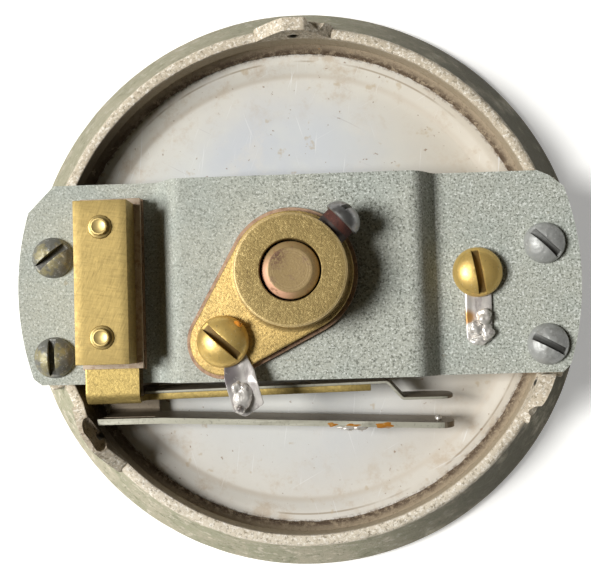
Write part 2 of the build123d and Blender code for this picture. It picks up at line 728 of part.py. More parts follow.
def make_upper_spring():
    """Clamped root and free blade of the upper contact spring, by node name."""
    flange_z = upper_flange_low_z + upper_thickness / 2
    leaf_end = upper_heights[0]
    root = bent_flange(
        bar_end_y, flange_z, upper_mid_y, leaf_end, upper_thickness, upper_bend, upper_flange_x
    )
    leg_edge = bracket_x[1]
    neck_end = skewed(upper_mid_y, upper_hinge_x - hinge_gap / 2)
    neck = [(leg_edge - 0.3, upper_mid_y), (leg_edge, upper_mid_y), neck_end]
    root += pack * leaf(neck, upper_thickness, upper_heights)
    joggle_start, joggle_end = upper_joggle_x
    free_y = upper_mid_y + leaf_gap
    points = [
        skewed(free_y, upper_hinge_x + hinge_gap / 2),
        skewed(free_y, joggle_start),
        (joggle_end, upper_tip_y),
        (upper_tip_x, upper_tip_y),
    ]
    blade = leaf(points, upper_thickness, upper_heights, upper_joggle_bend)
    blade = rounded_tip(blade, upper_tip_x, upper_tip_round, upper_heights)
    contact_face = upper_tip_y - upper_thickness / 2
    contact_low = contact_face - upper_contact_height
    return {
        "upper_spring_root": drilled_for_bar(root, bar_bush_radius + screw_gap),
        "upper_spring_blade": pack * blade,
        "upper_contact": pack
        * along_y(upper_contact_radius, contact_low, contact_face, contact_x, contact_height),
    }


def press_point(x):
    """The middle of the lower spring's blade at x, which splays away from the upper spring."""
    return (x, press_mid_y - (x - press_hinge_x) * tan(radians(press_splay)))


def make_press_root():
    """The fixed part of the lower spring: its leaf's left end and the foot under the bridge."""
    foot_z = foot_low_z + press_thickness / 2
    low, high = press_heights
    root = bent_flange(foot_end_y, foot_z, press_mid_y, high, press_thickness, press_bend, foot_x)
    ends = [(press_root_start_x, press_mid_y), (press_hinge_x - hinge_gap / 2, press_mid_y)]
    corner_x, corner_z = press_corner
    wedge = Polyline(
        (press_root_start_x, high - 0.4),
        (press_root_start_x + corner_x, low),
        (press_root_start_x - 1, low),
        (press_root_start_x - 1, high - 0.4),
        close=True,
    )
    wing_cut = Pos(0, 5, 0) * extrude(Plane.XZ * make_face(wedge), 10)
    wing = leaf(ends, press_thickness, press_heights) - wing_cut
    root += pack * wing
    for screw_y in foot_screw_ys:
        root -= disc(foot_screw_radius + screw_gap, 0, 30, foot_middle_x(), screw_y)
        root -= countersink(screw_gap, screw_y)
    return root


def countersink(gap, screw_y):
    """The cone of a foot screw's head, larger all round by a gap."""
    rise = foot_screw_head_radius - foot_screw_radius
    cone = Cone(foot_screw_head_radius + gap, foot_screw_radius + gap, rise)
    return Pos(foot_middle_x(), screw_y, foot_low_z + rise / 2) * cone


def make_foot_screws():
    screws = []
    for screw_y in foot_screw_ys:
        screw = disc(foot_screw_radius, foot_low_z + 0.1, foot_screw_top_z, foot_middle_x(), screw_y)
        screws.append(screw + countersink(0, screw_y))
    return Compound(screws)


def make_press_spring():
    """Clamped root and free blade of the lower spring, its contact and its solder, by node name."""
    start = press_point(press_hinge_x + hinge_gap / 2)
    blade = leaf([start, press_point(press_tip_x)], press_thickness, press_heights)
    blade = rounded_tip(blade, press_tip_x, press_tip_round, press_heights)
    contact_y = press_point(contact_x)[1]
    near_face = contact_y + press_thickness / 2 + 0.03
    far_face = contact_y - press_thickness / 2 + 0.02
    blade -= along_y(contact_shank_radius + 0.02, contact_y - 1, contact_y + 1, contact_x, contact_height)
    dome_y = near_face + contact_projection - contact_radius
    dome = Pos(contact_x, dome_y, contact_height) * Sphere(contact_radius)
    rivet = dome & block((0, 40), (near_face, near_face + 5), (-9, 9))
    rivet += along_y(contact_shank_radius, far_face, near_face + 0.05, contact_x, contact_height)
    solder_face = press_point(solder_x)[1] - press_thickness / 2 - 0.09
    bead = Rot(0, 90, 0) * Cylinder(solder_radius, solder_length) & block((-9, 9), (-9, 0), (-9, 9))
    return {
        "press_spring_root": make_press_root(),
        "press_spring_blade": pack * blade,
        "contact_rivet": pack * rivet,
        "spring_solder": pack * Pos(solder_x, solder_face, solder_height) * bead,
        "foot_screws": make_foot_screws(),
    }


edge_gasket_outline = [
    (edge_gasket_bore, ledge_z + gasket_thickness),
    (edge_gasket_outer, ledge_z + gasket_thickness),
    (edge_gasket_outer, edge_gasket_top_z),
    (edge_gasket_lip, edge_gasket_top_z),
    (edge_gasket_lip, edge_gasket_lip_z),
    (edge_gasket_bore, edge_gasket_lip_z),
]

parts = {
    "faceplate": make_faceplate(),
    "sound_screen": disc(screen_radius, front_thickness, front_thickness + screen_thickness),
    "front_gasket": tube(gasket_inner_radius, gasket_outer_radius, ledge_z, ledge_z + gasket_thickness),
    "edge_gasket": turned(edge_gasket_outline),
    "diaphragm": make_diaphragm(),
    "bridge": make_bridge(),
    "bridge_screws": make_bridge_screws(),
    "electrode_post": make_electrode_post(),
    "post_bush": make_post_bush(),
    "clamp_insulator": make_clamp_insulator(),
    "boss_clamp": make_boss_clamp(),
    "spring_bracket": make_spring_bracket(),
}
parts.update(make_button())
parts.update(make_set_screw())
parts.update(make_tail_terminal())
parts.update(make_side_terminal())
parts.update(make_bar_stack())
parts.update(make_upper_spring())
parts.update(make_press_spring())

os.makedirs("parts", exist_ok=True)
for name, shape in parts.items():
    export_step(shape, f"parts/{name}.step")
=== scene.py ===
"""Looks of a solid-back carbon transmitter, seen from its open back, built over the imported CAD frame."""

import math

import bmesh
import bpy
from mathutils import Matrix, Vector, noise


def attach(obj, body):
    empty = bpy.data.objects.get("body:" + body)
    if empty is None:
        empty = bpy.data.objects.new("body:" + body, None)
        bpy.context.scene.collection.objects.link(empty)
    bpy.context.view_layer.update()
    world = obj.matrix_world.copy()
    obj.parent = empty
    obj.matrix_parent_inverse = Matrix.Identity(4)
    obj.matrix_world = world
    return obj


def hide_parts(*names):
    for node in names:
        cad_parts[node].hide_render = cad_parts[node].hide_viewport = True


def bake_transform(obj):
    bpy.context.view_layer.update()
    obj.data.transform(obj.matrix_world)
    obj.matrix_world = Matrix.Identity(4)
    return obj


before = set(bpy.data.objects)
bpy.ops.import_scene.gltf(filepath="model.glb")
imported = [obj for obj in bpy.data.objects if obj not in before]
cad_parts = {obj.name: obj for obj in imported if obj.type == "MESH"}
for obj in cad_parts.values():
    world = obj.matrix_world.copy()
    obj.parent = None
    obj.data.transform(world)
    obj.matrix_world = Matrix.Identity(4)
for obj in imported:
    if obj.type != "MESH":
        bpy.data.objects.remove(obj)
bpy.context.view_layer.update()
scene = bpy.context.scene

# Lengths are in millimetres, along the frame's axes. Only the floor's and the light's are in metres.
MM = 0.001
RIM_Z = 9.0
BRIDGE_TOP_Z = 10.5
CREST_TOP_Z = 13.9
FLANGE_TOP_Z = 15.9
CLAMP = (-0.9, 1.1)
TAIL = (-8.97, -6.666)
TERMINAL = (20.85, 0.7)
BAR_SCREWS = ((-22.6, 6.78), (-22.6, -5.82))
EAR_ANGLES = (90.4, 215.4, 335.4)
EAR_RADIUS = 30.7
SOUND_HOLE_RINGS = ((0.0, 1), (6.2, 6), (12.4, 12), (18.6, 18))
TAG_LIFT = 0.5

# Bridge screws: x, y, slot direction in degrees, and the seed of the head's bruises
BRIDGE_SCREWS = (
    (-29.9, 3.95, 38.0, 3.0), (-29.9, -8.05, 91.0, 8.0), (28.9, 3.95, -44.0, 13.0), (28.9, -8.0, -28.0, 21.0),
)
BRIDGE_CENTRE_X = -0.5
BRIDGE_SIDES = (-11.35, 12.65)
BRIDGE_END_RADIUS = 33.7
BRIDGE_THICKNESS = 1.5
BRIDGE_RISE = CREST_TOP_Z - BRIDGE_TOP_Z

# Set screw in the clamp's side: direction in degrees, height, and its head's distance from the clamp's axis
SET_SCREW = (43.9, 17.9, 7.95)

# The spring pack's own frame leans. In it, y goes from the bracket towards the bridge and z up the springs.
PACK_LEAN = math.radians(7.6)
PACK_Y = -13.5
PACK_Z = 9.4
BAR_X = (-25.7, -19.5)
FLANGE_END_Y = 9.88
BRACKET_Y = 0.425
BRACKET_THICKNESS = 0.85
ARM_SLOPE = math.tan(math.radians(0.95))
UPPER_Y = 1.0
UPPER_THICKNESS = 0.3
UPPER_HEIGHTS = (-3.6, 0.3)
UPPER_TIP = (17.75, -0.53)
PRESS_Y = -2.45
PRESS_THICKNESS = 0.7
PRESS_HEIGHTS = (-3.8, 0.4)
PRESS_START_X = -25.1
PRESS_HINGE_X = -17.17
PRESS_TIP_X = 17.9
PRESS_SPLAY = math.tan(math.radians(2.44))


# ---- mesh helpers


def polar(radius, degrees, centre=(0.0, 0.0)):
    """The (x, y) of a point at a distance and a direction from a centre."""
    angle = math.radians(degrees)
    return (centre[0] + radius * math.cos(angle), centre[1] + radius * math.sin(angle))


def arc(centre, radius, start, end, steps=8):
    """Points on a circle from one direction to another, in degrees."""
    return [polar(radius, start + (end - start) * i / steps, centre) for i in range(steps + 1)]


def rounded(points, radii, steps=6):
    """A closed outline whose corners are rounded, each by its own radius."""
    outline = []
    for index, point in enumerate(points):
        here = Vector(point)
        back = (Vector(points[index - 1]) - here).normalized()
        ahead = (Vector(points[(index + 1) % len(points)]) - here).normalized()
        radius = radii[index]
        if radius <= 0:
            outline.append(tuple(here))
            continue
        half = back.angle(ahead) / 2
        centre = here + (back + ahead).normalized() * radius / math.sin(half)
        start = here + back * radius / math.tan(half) - centre
        end = here + ahead * radius / math.tan(half) - centre
        turn = start.angle_signed(end)
        for step in range(steps + 1):
            angle = -turn * step / steps
            cosine, sine = math.cos(angle), math.sin(angle)
            x = centre.x + start.x * cosine - start.y * sine
            y = centre.y + start.x * sine + start.y * cosine
            outline.append((x, y))
    return outline


def lathe(profile, steps=96, centre=(0.0, 0.0)):
    """The solid swept by turning a closed (r, z) outline about a vertical axis."""
    bm = bmesh.new()
    turns = [2 * math.pi * i / steps for i in range(steps)]
    rings = []
    for radius, z in profile:
        if radius < 1e-6:
            rings.append([bm.verts.new((centre[0], centre[1], z))])
        else:
            spots = [(centre[0] + radius * math.cos(a), centre[1] + radius * math.sin(a), z) for a in turns]
            rings.append([bm.verts.new(spot) for spot in spots])
    for ring, other in zip(rings, rings[1:] + rings[:1]):
        if len(ring) == 1 and len(other) == 1:
            continue
        for i in range(steps):
            j = (i + 1) % steps
            corners = [ring[i % len(ring)], ring[j % len(ring)], other[j % len(other)], other[i % len(other)]]
            bm.faces.new(list(dict.fromkeys(corners)))
    bmesh.ops.recalc_face_normals(bm, faces=bm.faces)
    return bm


def prism(outline, low, high):
    """An (x, y) outline raised from low to high."""
    bm = bmesh.new()
    base = [bm.verts.new((x, y, low)) for x, y in outline]
    top = [bm.verts.new((x, y, high)) for x, y in outline]
    bm.faces.new(reversed(base))
    bm.faces.new(top)
    for i in range(len(outline)):
        j = (i + 1) % len(outline)
        bm.faces.new((base[i], base[j], top[j], top[i]))
    bmesh.ops.recalc_face_normals(bm, faces=bm.faces)
    return bm


def join(*meshes):
    """All the meshes as one, their solids left separate."""
    whole = meshes[0]
    for bm in meshes[1:]:
        mesh = bpy.data.meshes.new("work")
        bm.to_mesh(mesh)
        bm.free()
        whole.from_mesh(mesh)
        bpy.data.meshes.remove(mesh)
    return whole


def soften(bm, width, segments=3, angle=32.0):
    """Rounds every edge that is sharper than an angle."""
    edges = [e for e in bm.edges if e.is_manifold and e.calc_face_angle(0) > math.radians(angle)]
    bmesh.ops.bevel(bm, geom=edges, offset=width, segments=segments, profile=0.5, affect="EDGES",
                    clamp_overlap=True)
    return bm


def slice_at(bm, point, normal=(1, 0, 0), **options):
    """Cuts the faces that a plane crosses. Both sides stay, unless an option clears one."""
    everything = bm.verts[:] + bm.edges[:] + bm.faces[:]
    bmesh.ops.bisect_plane(bm, geom=everything, plane_co=point, plane_no=normal, **options)


def carve(bm, cutter):
    """bm less the cutter."""
    objects = []
    for part in (bm, cutter):
        mesh = bpy.data.meshes.new("work")
        part.to_mesh(mesh)
        part.free()
        objects.append(bpy.data.objects.new("work", mesh))
        scene.collection.objects.link(objects[-1])
    cut = objects[0].modifiers.new("cut", "BOOLEAN")
    cut.operation = "DIFFERENCE"
    cut.object = objects[1]
    cut.solver = "EXACT"
    result = bmesh.new()
    result.from_mesh(objects[0].evaluated_get(bpy.context.evaluated_depsgraph_get()).to_mesh())
    for used in objects:
        mesh = used.data
        bpy.data.objects.remove(used)
        bpy.data.meshes.remove(mesh)
    return result


def subdivided(bm, longest, rounds=4):
    """Splits edges until none is longer than a length."""
    for _ in range(rounds):
        edges = [e for e in bm.edges if e.calc_length() > longest]
        if not edges:
            break
        bmesh.ops.subdivide_edges(bm, edges=edges, cuts=1, use_grid_fill=True)
        bmesh.ops.triangulate(bm, faces=[f for f in bm.faces if len(f.verts) > 4])
    return bm


def roughen(bm, depth, size, seed=0.0, inward=True):
    """Pushes the surface in by up to a depth, in lumps of a size."""
    bm.normal_update()
    moves = []
    for vert in bm.verts:
        value = noise.noise(vert.co / size + Vector((seed, seed * 1.7, -seed)))
        moves.append(vert.normal * (depth * (value - 1) / 2 if inward else depth * value))
    for vert, move in zip(bm.verts, moves):
        vert.co += move
    return bm


def blob(centre, size, lumps, seed, steps=4):
    """A lump of solder or lacquer: a ball squashed to a size and made uneven."""
    bm = bmesh.new()
    bmesh.ops.create_icosphere(bm, subdivisions=steps, radius=1.0)
    for vert in bm.verts:
        swell = 1 + lumps * noise.noise(vert.co * 1.4 + Vector((seed, seed, 0)))
        vert.co = Vector(centre) + Vector([vert.co[i] * size[i] * swell for i in range(3)])
    return bm


def placed(bm, matrix):
    """The mesh itself, moved."""
    bm.transform(matrix)
    return bm


def at(x, y, z, turn=0.0):
    """Moves to a point after a turn about Z, in degrees."""
    return Matrix.Translation((x, y, z)) @ Matrix.Rotation(math.radians(turn), 4, "Z")


PACK = Matrix.Translation((0, PACK_Y, PACK_Z)) @ Matrix.Rotation(PACK_LEAN, 4, "X")


def piece(name, bm, paint, slot, *nodes, body="frame_body", sharp=38.0):
    """Makes a mesh into a named piece that stands for CAD nodes, on a body unless body is None."""
    bm.transform(Matrix.Scale(MM, 4))
    mesh = bpy.data.meshes.new(name)
    bm.to_mesh(mesh)
    bm.free()
    mesh.polygons.foreach_set("use_smooth", [True] * len(mesh.polygons))
    mesh.set_sharp_from_angle(angle=math.radians(sharp))
    mesh.materials.append(paint)
    obj = bpy.data.objects.new(name, mesh)
    scene.collection.objects.link(obj)
    if nodes:
        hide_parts(*nodes)
    if body:
        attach(obj, body)
    return obj


# ---- material helpers


class Paint:
    """Builds one node-based material. Scales are in features per millimetre."""

    def __init__(self, name, color, roughness=0.5, metallic=0.0):
        self.material = bpy.data.materials.new(name)
        self.material.use_nodes = True
        self.tree = self.material.node_tree
        self.tree.nodes.clear()
        out = self.tree.nodes.new("ShaderNodeOutputMaterial")
        self.bsdf = self.tree.nodes.new("ShaderNodeBsdfPrincipled")
        self.tree.links.new(self.bsdf.outputs["BSDF"], out.inputs["Surface"])
        self.bsdf.inputs["Metallic"].default_value = metallic
        self.bsdf.inputs["Roughness"].default_value = roughness
        self.coords = self.tree.nodes.new("ShaderNodeTexCoord").outputs["Object"]
        self.position = self.scaled((1 / MM,) * 3)
        self.color = (*color, 1.0)
        self.normal = None

    def new(self, kind, **inputs):
        """Adds a node and sets or links its inputs, whose names have _ for each space."""
        node = self.tree.nodes.new(kind)
        for key, value in inputs.items():
            self.feed(node.inputs[key.replace("_", " ")], value)
        return node

    def feed(self, socket, value):
        """Links a socket's value, or sets a plain one."""
        if isinstance(value, bpy.types.NodeSocket):
            self.tree.links.new(value, socket)
        else:
            socket.default_value = value

    def mapped(self, vector, field, value):
        """A vector after one of a Mapping node's steps, which would otherwise scale before it rotates."""
        mapping = self.new("ShaderNodeMapping", Vector=vector)
        mapping.vector_type = "POINT"
        mapping.inputs[field].default_value = value
        return mapping.outputs["Vector"]

    def scaled(self, stretch, turn=0.0):
        """Object coordinates, turned about Z by some degrees and then stretched."""
        turned = self.mapped(self.coords, "Rotation", (0.0, 0.0, math.radians(turn)))
        return self.mapped(turned, "Scale", stretch)

    def noise(self, per_mm, detail=3.0, rough=0.6, stretch=(1.0, 1.0, 1.0), turn=0.0, distortion=0.0):
        vector = self.scaled(tuple(s / MM for s in stretch), turn)
        node = self.new("ShaderNodeTexNoise", Vector=vector, Scale=per_mm, Detail=detail, Roughness=rough,
                        Distortion=distortion)
        return node.outputs["Fac"]

    def step(self, value, low, high):
        """0 below low, 1 above high, smooth between. Also falls, when low is the larger."""
        node = self.new("ShaderNodeMapRange", Value=value, From_Min=min(low, high), From_Max=max(low, high))
        node.interpolation_type = "SMOOTHSTEP"
        node.clamp = True
        node.inputs["To Min"].default_value = float(low > high)
        node.inputs["To Max"].default_value = float(high > low)
        return node.outputs["Result"]

    def calc(self, operation, first, second=0.0):
        node = self.tree.nodes.new("ShaderNodeMath")
        node.operation = operation
        self.feed(node.inputs[0], first)
        self.feed(node.inputs[1], second)
        return node.outputs[0]

    def both(self, first, second):
        """1 where two masks are 1."""
        return self.calc("MULTIPLY", first, second)

    def axis(self, letter):
        return self.new("ShaderNodeSeparateXYZ", Vector=self.position).outputs[letter]

    def along(self, letter, low, high):
        """0 below a coordinate, 1 above another."""
        return self.step(self.axis(letter), low, high)

    def radius(self, centre=(0.0, 0.0)):
        """Distance from a vertical line, in millimetres."""
        x = self.calc("SUBTRACT", self.axis("X"), centre[0])
        y = self.calc("SUBTRACT", self.axis("Y"), centre[1])
        squares = self.calc("ADD", self.calc("MULTIPLY", x, x), self.calc("MULTIPLY", y, y))
        return self.calc("SQRT", squares)

    def near(self, point, radius, soft=0.3):
        """1 inside a sphere round a point."""
        offset = self.tree.nodes.new("ShaderNodeVectorMath")
        offset.operation = "DISTANCE"
        self.feed(offset.inputs[0], self.position)
        self.feed(offset.inputs[1], point)
        return self.step(offset.outputs["Value"], radius + soft, radius - soft)

    def tint(self, mask, color, amount=1.0):
        """Mixes a colour over the present one where a mask is 1."""
        node = self.tree.nodes.new("ShaderNodeMix")
        node.data_type = "RGBA"
        factor, before, over = (node.inputs[index] for index in (0, 6, 7))
        self.feed(factor, self.calc("MULTIPLY", mask, amount))
        self.feed(before, self.color)
        self.feed(over, (*color, 1.0))
        self.color = node.outputs[2]
        return self

    def specks(self, pattern, low, high, color, amount):
        """Tints where a noise, given by its arguments, goes past low towards high."""
        return self.tint(self.step(self.noise(*pattern), low, high), color, amount)

    def rough(self, mask, low, high):
        """Roughness from low, where a mask is 0, to high."""
        span = self.calc("ADD", self.calc("MULTIPLY", mask, high - low), low)
        self.feed(self.bsdf.inputs["Roughness"], span)
        return self

    def bump(self, height, depth, strength=1.0):
        """Relief from a height of 0 to 1, standing for a depth in millimetres."""
        node = self.new("ShaderNodeBump", Height=height, Strength=strength, Distance=depth * MM)
        if self.normal is not None:
            self.feed(node.inputs["Normal"], self.normal)
        self.normal = node.outputs["Normal"]
        return self

    def done(self):
        self.feed(self.bsdf.inputs["Base Color"], self.color)
        if self.normal is not None:
            self.feed(self.bsdf.inputs["Normal"], self.normal)
        return self.material


def speckled_zinc():
    """Mottled grey zinc: dark and light grains, a faint greenish cast, pits and old stains."""
    paint = Paint("zinc_plate", (0.50, 0.52, 0.46), 0.72, 0.0)
    paint.bsdf.inputs["Specular IOR Level"].default_value = 0.35
    paint.specks((0.10, 4.0), 0.38, 0.66, (0.44, 0.48, 0.44), 0.8)
    paint.specks((0.7, 5.0, 0.7), 0.5, 0.68, (0.38, 0.40, 0.35), 0.45)
    grainy = paint.calc("ADD", paint.calc("MULTIPLY", paint.along("X", -16.0, 8.0), 0.35), 0.65)
    dark_grains = paint.both(paint.step(paint.noise(4.0, 2.0, 0.75), 0.51, 0.61), grainy)
    paint.tint(dark_grains, (0.15, 0.16, 0.13), 0.85)
    light_grains = paint.both(paint.step(paint.noise(3.6, 3.0, 0.7), 0.47, 0.36), grainy)
    paint.tint(light_grains, (0.84, 0.87, 0.83), 0.8)
    paint.specks((2.2, 6.0, 0.8), 0.63, 0.69, (0.08, 0.08, 0.05), 0.75)
    paint.specks((0.45, 4.0, 0.6), 0.66, 0.74, (0.36, 0.30, 0.18), 0.45)
    grains = paint.noise(4.6, 3.0, 0.7)
    paint.rough(grains, 0.55, 0.85)
    return paint.bump(grains, 0.08, 0.8).done()


def cast_zinc():
    """The cup: painted grey-green outside, bright machined rim, stained tan inside, grime in its corners.
    Painted shade darkens the right outer wall, the left inner wall and the ear holes; the lower-left ear's
    scoop is painted a mid brown, as if lit.
    """
    paint = Paint("cast_ring", (0.50, 0.46, 0.34), 0.68, 0.0)
    paint.bsdf.inputs["Specular IOR Level"].default_value = 0.18
    radius = paint.radius()
    height = paint.axis("Z")
    blotch = paint.noise(0.25, 5.0, 0.65)
    grain = paint.noise(2.2, 5.0, 0.7)
    paint.tint(paint.step(blotch, 0.40, 0.62), (0.36, 0.36, 0.24), 0.75)
    paint.specks((0.9, 4.0), 0.54, 0.66, (0.74, 0.68, 0.56), 0.7)
    paint.specks((0.55, 6.0, 0.75), 0.52, 0.66, (0.22, 0.23, 0.14), 0.75)
    paint.specks((1.6, 5.0, 0.7), 0.58, 0.68, (0.13, 0.13, 0.08), 0.7)
    paint.tint(paint.along("Y", 0.0, 16.0), (0.25, 0.235, 0.16), 0.5)
    # Painted shade: the outer wall darkens towards +X, the side that faces away from the light, in blotches.
    painted_shade_right = paint.both(paint.along("X", 0.0, 24.0), paint.step(blotch, 0.2, 0.5))
    paint.tint(painted_shade_right, (0.075, 0.065, 0.03), 0.85)
    inside = paint.step(radius, 30.35, 30.05)
    paint.tint(inside, (0.58, 0.48, 0.35), 0.95)
    paint.tint(paint.both(inside, paint.step(grain, 0.45, 0.62)), (0.40, 0.31, 0.20), 0.6)
    rim = paint.both(paint.step(height, 8.1, 8.8), paint.step(radius, 29.9, 30.1))
    paint.tint(rim, (0.68, 0.59, 0.46), 0.9)
    paint.tint(paint.both(rim, paint.along("Y", -14.0, -27.0)), (0.90, 0.84, 0.72), 0.35)
    chips = paint.both(rim, paint.step(paint.noise(2.6, 4.0, 0.75), 0.50, 0.60))
    paint.tint(chips, (0.97, 0.92, 0.83), 0.9)
    pits = paint.both(rim, paint.step(paint.noise(1.9, 5.0, 0.75), 0.47, 0.39))
    paint.tint(pits, (0.30, 0.25, 0.17), 0.8)
    # Painted light: the lower-left ear's scoop, which lies in shade, is painted a mid brown as if lit, then
    # given dark spots.
    scoop_light_and_spots = paint.both(paint.near((-25.2, -17.5, 10.2), 2.6, 0.8), paint.step(radius, 32.0, 31.5))
    paint.tint(scoop_light_and_spots, (0.44, 0.37, 0.28), 0.85)
    paint.tint(paint.both(scoop_light_and_spots, paint.step(grain, 0.50, 0.62)), (0.12, 0.08, 0.05), 0.75)
    # Painted shade: the inner wall near black towards -X, where it faces away from the light.
    painted_shade_left = paint.both(inside, paint.along("X", -16.0, -25.0))
    paint.tint(painted_shade_left, (0.07, 0.05, 0.03), 0.9)
    grime = paint.both(paint.step(height, 6.4, 5.0), inside)
    paint.tint(paint.both(grime, paint.step(grain, 0.40, 0.62)), (0.13, 0.08, 0.05), 0.9)
    # Painted shade: near black inside each ear's hole.
    for angle in EAR_ANGLES:
        for hole_radius in (30.2, 30.9, 31.6):
            hole = (*polar(hole_radius, angle), 9.5)
            paint.tint(paint.near(hole, 0.72, 0.12), (0.02, 0.02, 0.015), 0.97)
    paint.rough(grain, 0.5, 0.8)
    return paint.bump(grain, 0.14, 0.8).bump(blotch, 0.3, 0.4).done()


def diaphragm_sheet():
    """Matt pale aluminium: clouded, cream towards its edge, stained brown, with faint scratches and spots."""
    paint = Paint("diaphragm_sheet", (0.715, 0.725, 0.69), 0.5, 0.0)
    radius = paint.radius()
    cloud = paint.noise(0.07, 4.0, 0.6)
    paint.tint(paint.step(cloud, 0.4, 0.65), (0.64, 0.66, 0.665), 0.8)
    haze = paint.both(paint.near((-4.0, 16.0, 3.5), 11.0, 8.0), paint.step(cloud, 0.3, 0.6))
    paint.tint(haze, (0.61, 0.64, 0.69), 0.8)
    paint.specks((0.16, 5.0, 0.7), 0.55, 0.72, (0.72, 0.70, 0.66), 0.5)
    paint.tint(paint.along("X", 2.0, 24.0), (0.55, 0.50, 0.42), 0.85)
    paint.tint(paint.along("Y", -8.0, -22.0), (0.62, 0.62, 0.63), 0.45)
    edge = paint.step(radius, 19.0, 27.5)
    paint.tint(edge, (0.70, 0.64, 0.54), 0.5)
    brown = paint.both(edge, paint.step(paint.noise(0.3, 6.0, 0.75), 0.48, 0.70))
    paint.tint(brown, (0.50, 0.39, 0.27), 0.6)
    # Painted shade: a darker ring along the foot of the formed step.
    step_shade_line = paint.step(paint.calc("ABSOLUTE", paint.calc("SUBTRACT", radius, 26.6)), 0.6, 0.0)
    paint.tint(step_shade_line, (0.56, 0.49, 0.40), 0.5)
    lip_line = paint.step(paint.calc("ABSOLUTE", paint.calc("SUBTRACT", radius, 28.3)), 0.16, 0.04)
    broken = paint.both(lip_line, paint.step(paint.noise(0.12, 3.0), 0.44, 0.6))
    paint.tint(broken, (0.30, 0.23, 0.15), 0.7)
    crumbs = paint.step(paint.noise(1.5, 6.0, 0.8), 0.46, 0.58)
    paint.tint(paint.both(paint.step(radius, 28.8, 29.2), crumbs), (0.16, 0.10, 0.06), 0.75)
    paint.specks((0.5, 3.0, 0.5), 0.66, 0.73, (0.50, 0.40, 0.26), 0.55)
    paint.specks((1.6, 2.0, 0.5), 0.715, 0.76, (0.26, 0.16, 0.09), 0.7)
    paint.specks((0.9, 5.0, 0.75), 0.60, 0.70, (0.58, 0.56, 0.52), 0.35)
    scratches = ((7.0, 0.32, 0.68), (-17.0, 0.27, 0.69), (62.0, 0.2, 0.71), (22.0, 0.4, 0.70))
    for turn, per_mm, edge_at in scratches:
        line = paint.noise(per_mm, 2.0, 0.5, (10.0, 0.3, 1.0), turn, 0.2)
        paint.tint(paint.step(line, edge_at, edge_at + 0.08), (0.88, 0.89, 0.90), 0.45)
    dark_line = paint.noise(0.22, 2.0, 0.5, (12.0, 0.35, 1.0), -62.0, 0.2)
    paint.tint(paint.step(dark_line, 0.72, 0.78), (0.52, 0.50, 0.49), 0.5)
    grain = paint.noise(5.0, 3.0, 0.6)
    paint.rough(paint.noise(0.3, 3.0), 0.42, 0.65)
    return paint.bump(grain, 0.012, 0.5).bump(cloud, 0.25, 0.5).done()


def shade(color, factor, warmth=1.0):
    """A colour made lighter or darker. Above 1, warmth takes some green and blue out."""
    red, green, blue = (min(1.0, part * factor) for part in color)
    return (red, green / warmth, blue / warmth**2)


def brass(name, color=(0.50, 0.36, 0.13), roughness=0.45, streaks=(), grain=0.0, grain_scale=3.0, patina=0.5):
    """Brass with optional brush marks, cast grain, and dark and reddish patina."""
    paint = Paint(name, color, roughness, 0.7)
    cloud = paint.noise(0.35, 5.0, 0.65)
    paint.tint(paint.step(cloud, 0.48, 0.7), shade(color, 0.72, 1.06), patina)
    paint.specks((1.6, 4.0, 0.7), 0.6, 0.7, shade(color, 0.42, 1.1), patina)
    paint.specks((0.8, 3.0), 0.62, 0.72, shade(color, 1.35), 0.5)
    height = paint.noise(2.0, 4.0)
    for turn, per_mm in streaks:
        line = paint.noise(per_mm, 3.0, 0.65, (1.0, 0.10, 0.10), turn, 0.2)
        paint.tint(paint.step(line, 0.52, 0.7), shade(color, 1.28), 0.4)
        paint.tint(paint.step(line, 0.47, 0.32), shade(color, 0.62), 0.4)
        paint.bump(line, 0.01, 0.7)
    if grain:
        sand = paint.noise(grain_scale, 4.0, 0.75)
        paint.tint(paint.step(sand, 0.5, 0.62), shade(color, 0.62, 1.05), 0.5)
        paint.tint(paint.step(sand, 0.44, 0.34), shade(color, 1.35), 0.5)
        paint.bump(sand, grain, 0.9)
    paint.rough(height, roughness - 0.1, roughness + 0.16)
    return paint.bump(height, 0.008, 0.5).done()


def clamp_brass():
    """The clamp: a bright, lightly pitted flange, and a duller sandy boss with a painted highlight on its
    shoulder and painted shade in its bore.
    """
    paint = Paint("boss_brass", (0.66, 0.47, 0.17), 0.48, 0.6)
    height = paint.axis("Z")
    radius = paint.radius(CLAMP)
    on_boss = paint.step(height, 16.3, 16.9)
    paint.tint(on_boss, (0.335, 0.245, 0.092), 1.0)
    cloud = paint.noise(0.4, 5.0, 0.65)
    paint.tint(paint.step(cloud, 0.48, 0.68), (0.36, 0.26, 0.095), 0.5)
    sand = paint.noise(3.6, 4.0, 0.78)
    paint.tint(paint.step(sand, 0.50, 0.60), (0.27, 0.185, 0.07), 0.6)
    paint.tint(paint.step(sand, 0.44, 0.35), (0.80, 0.62, 0.29), 0.45)
    paint.specks((1.3, 5.0, 0.75), 0.64, 0.69, (0.14, 0.085, 0.04), 0.75)
    # Painted highlight: the boss's shoulder painted bright all round.
    shoulder_highlight = paint.both(paint.step(radius, 6.0, 6.3), paint.step(height, 20.0, 20.3))
    paint.tint(shoulder_highlight, (0.86, 0.66, 0.32), 0.85)
    # Painted shade: the gap round the post painted near black.
    bore = paint.both(paint.step(radius, 3.46, 3.38), paint.step(height, 17.0, 17.5))
    paint.tint(bore, (0.03, 0.02, 0.01), 0.95)
    foot = paint.both(paint.step(radius, 7.0, 6.5), paint.step(height, 16.5, 16.1))
    paint.tint(foot, (0.27, 0.18, 0.07), 0.6)
    paint.rough(sand, 0.38, 0.62)
    return paint.bump(sand, 0.06, 0.9).bump(cloud, 0.1, 0.4).done()


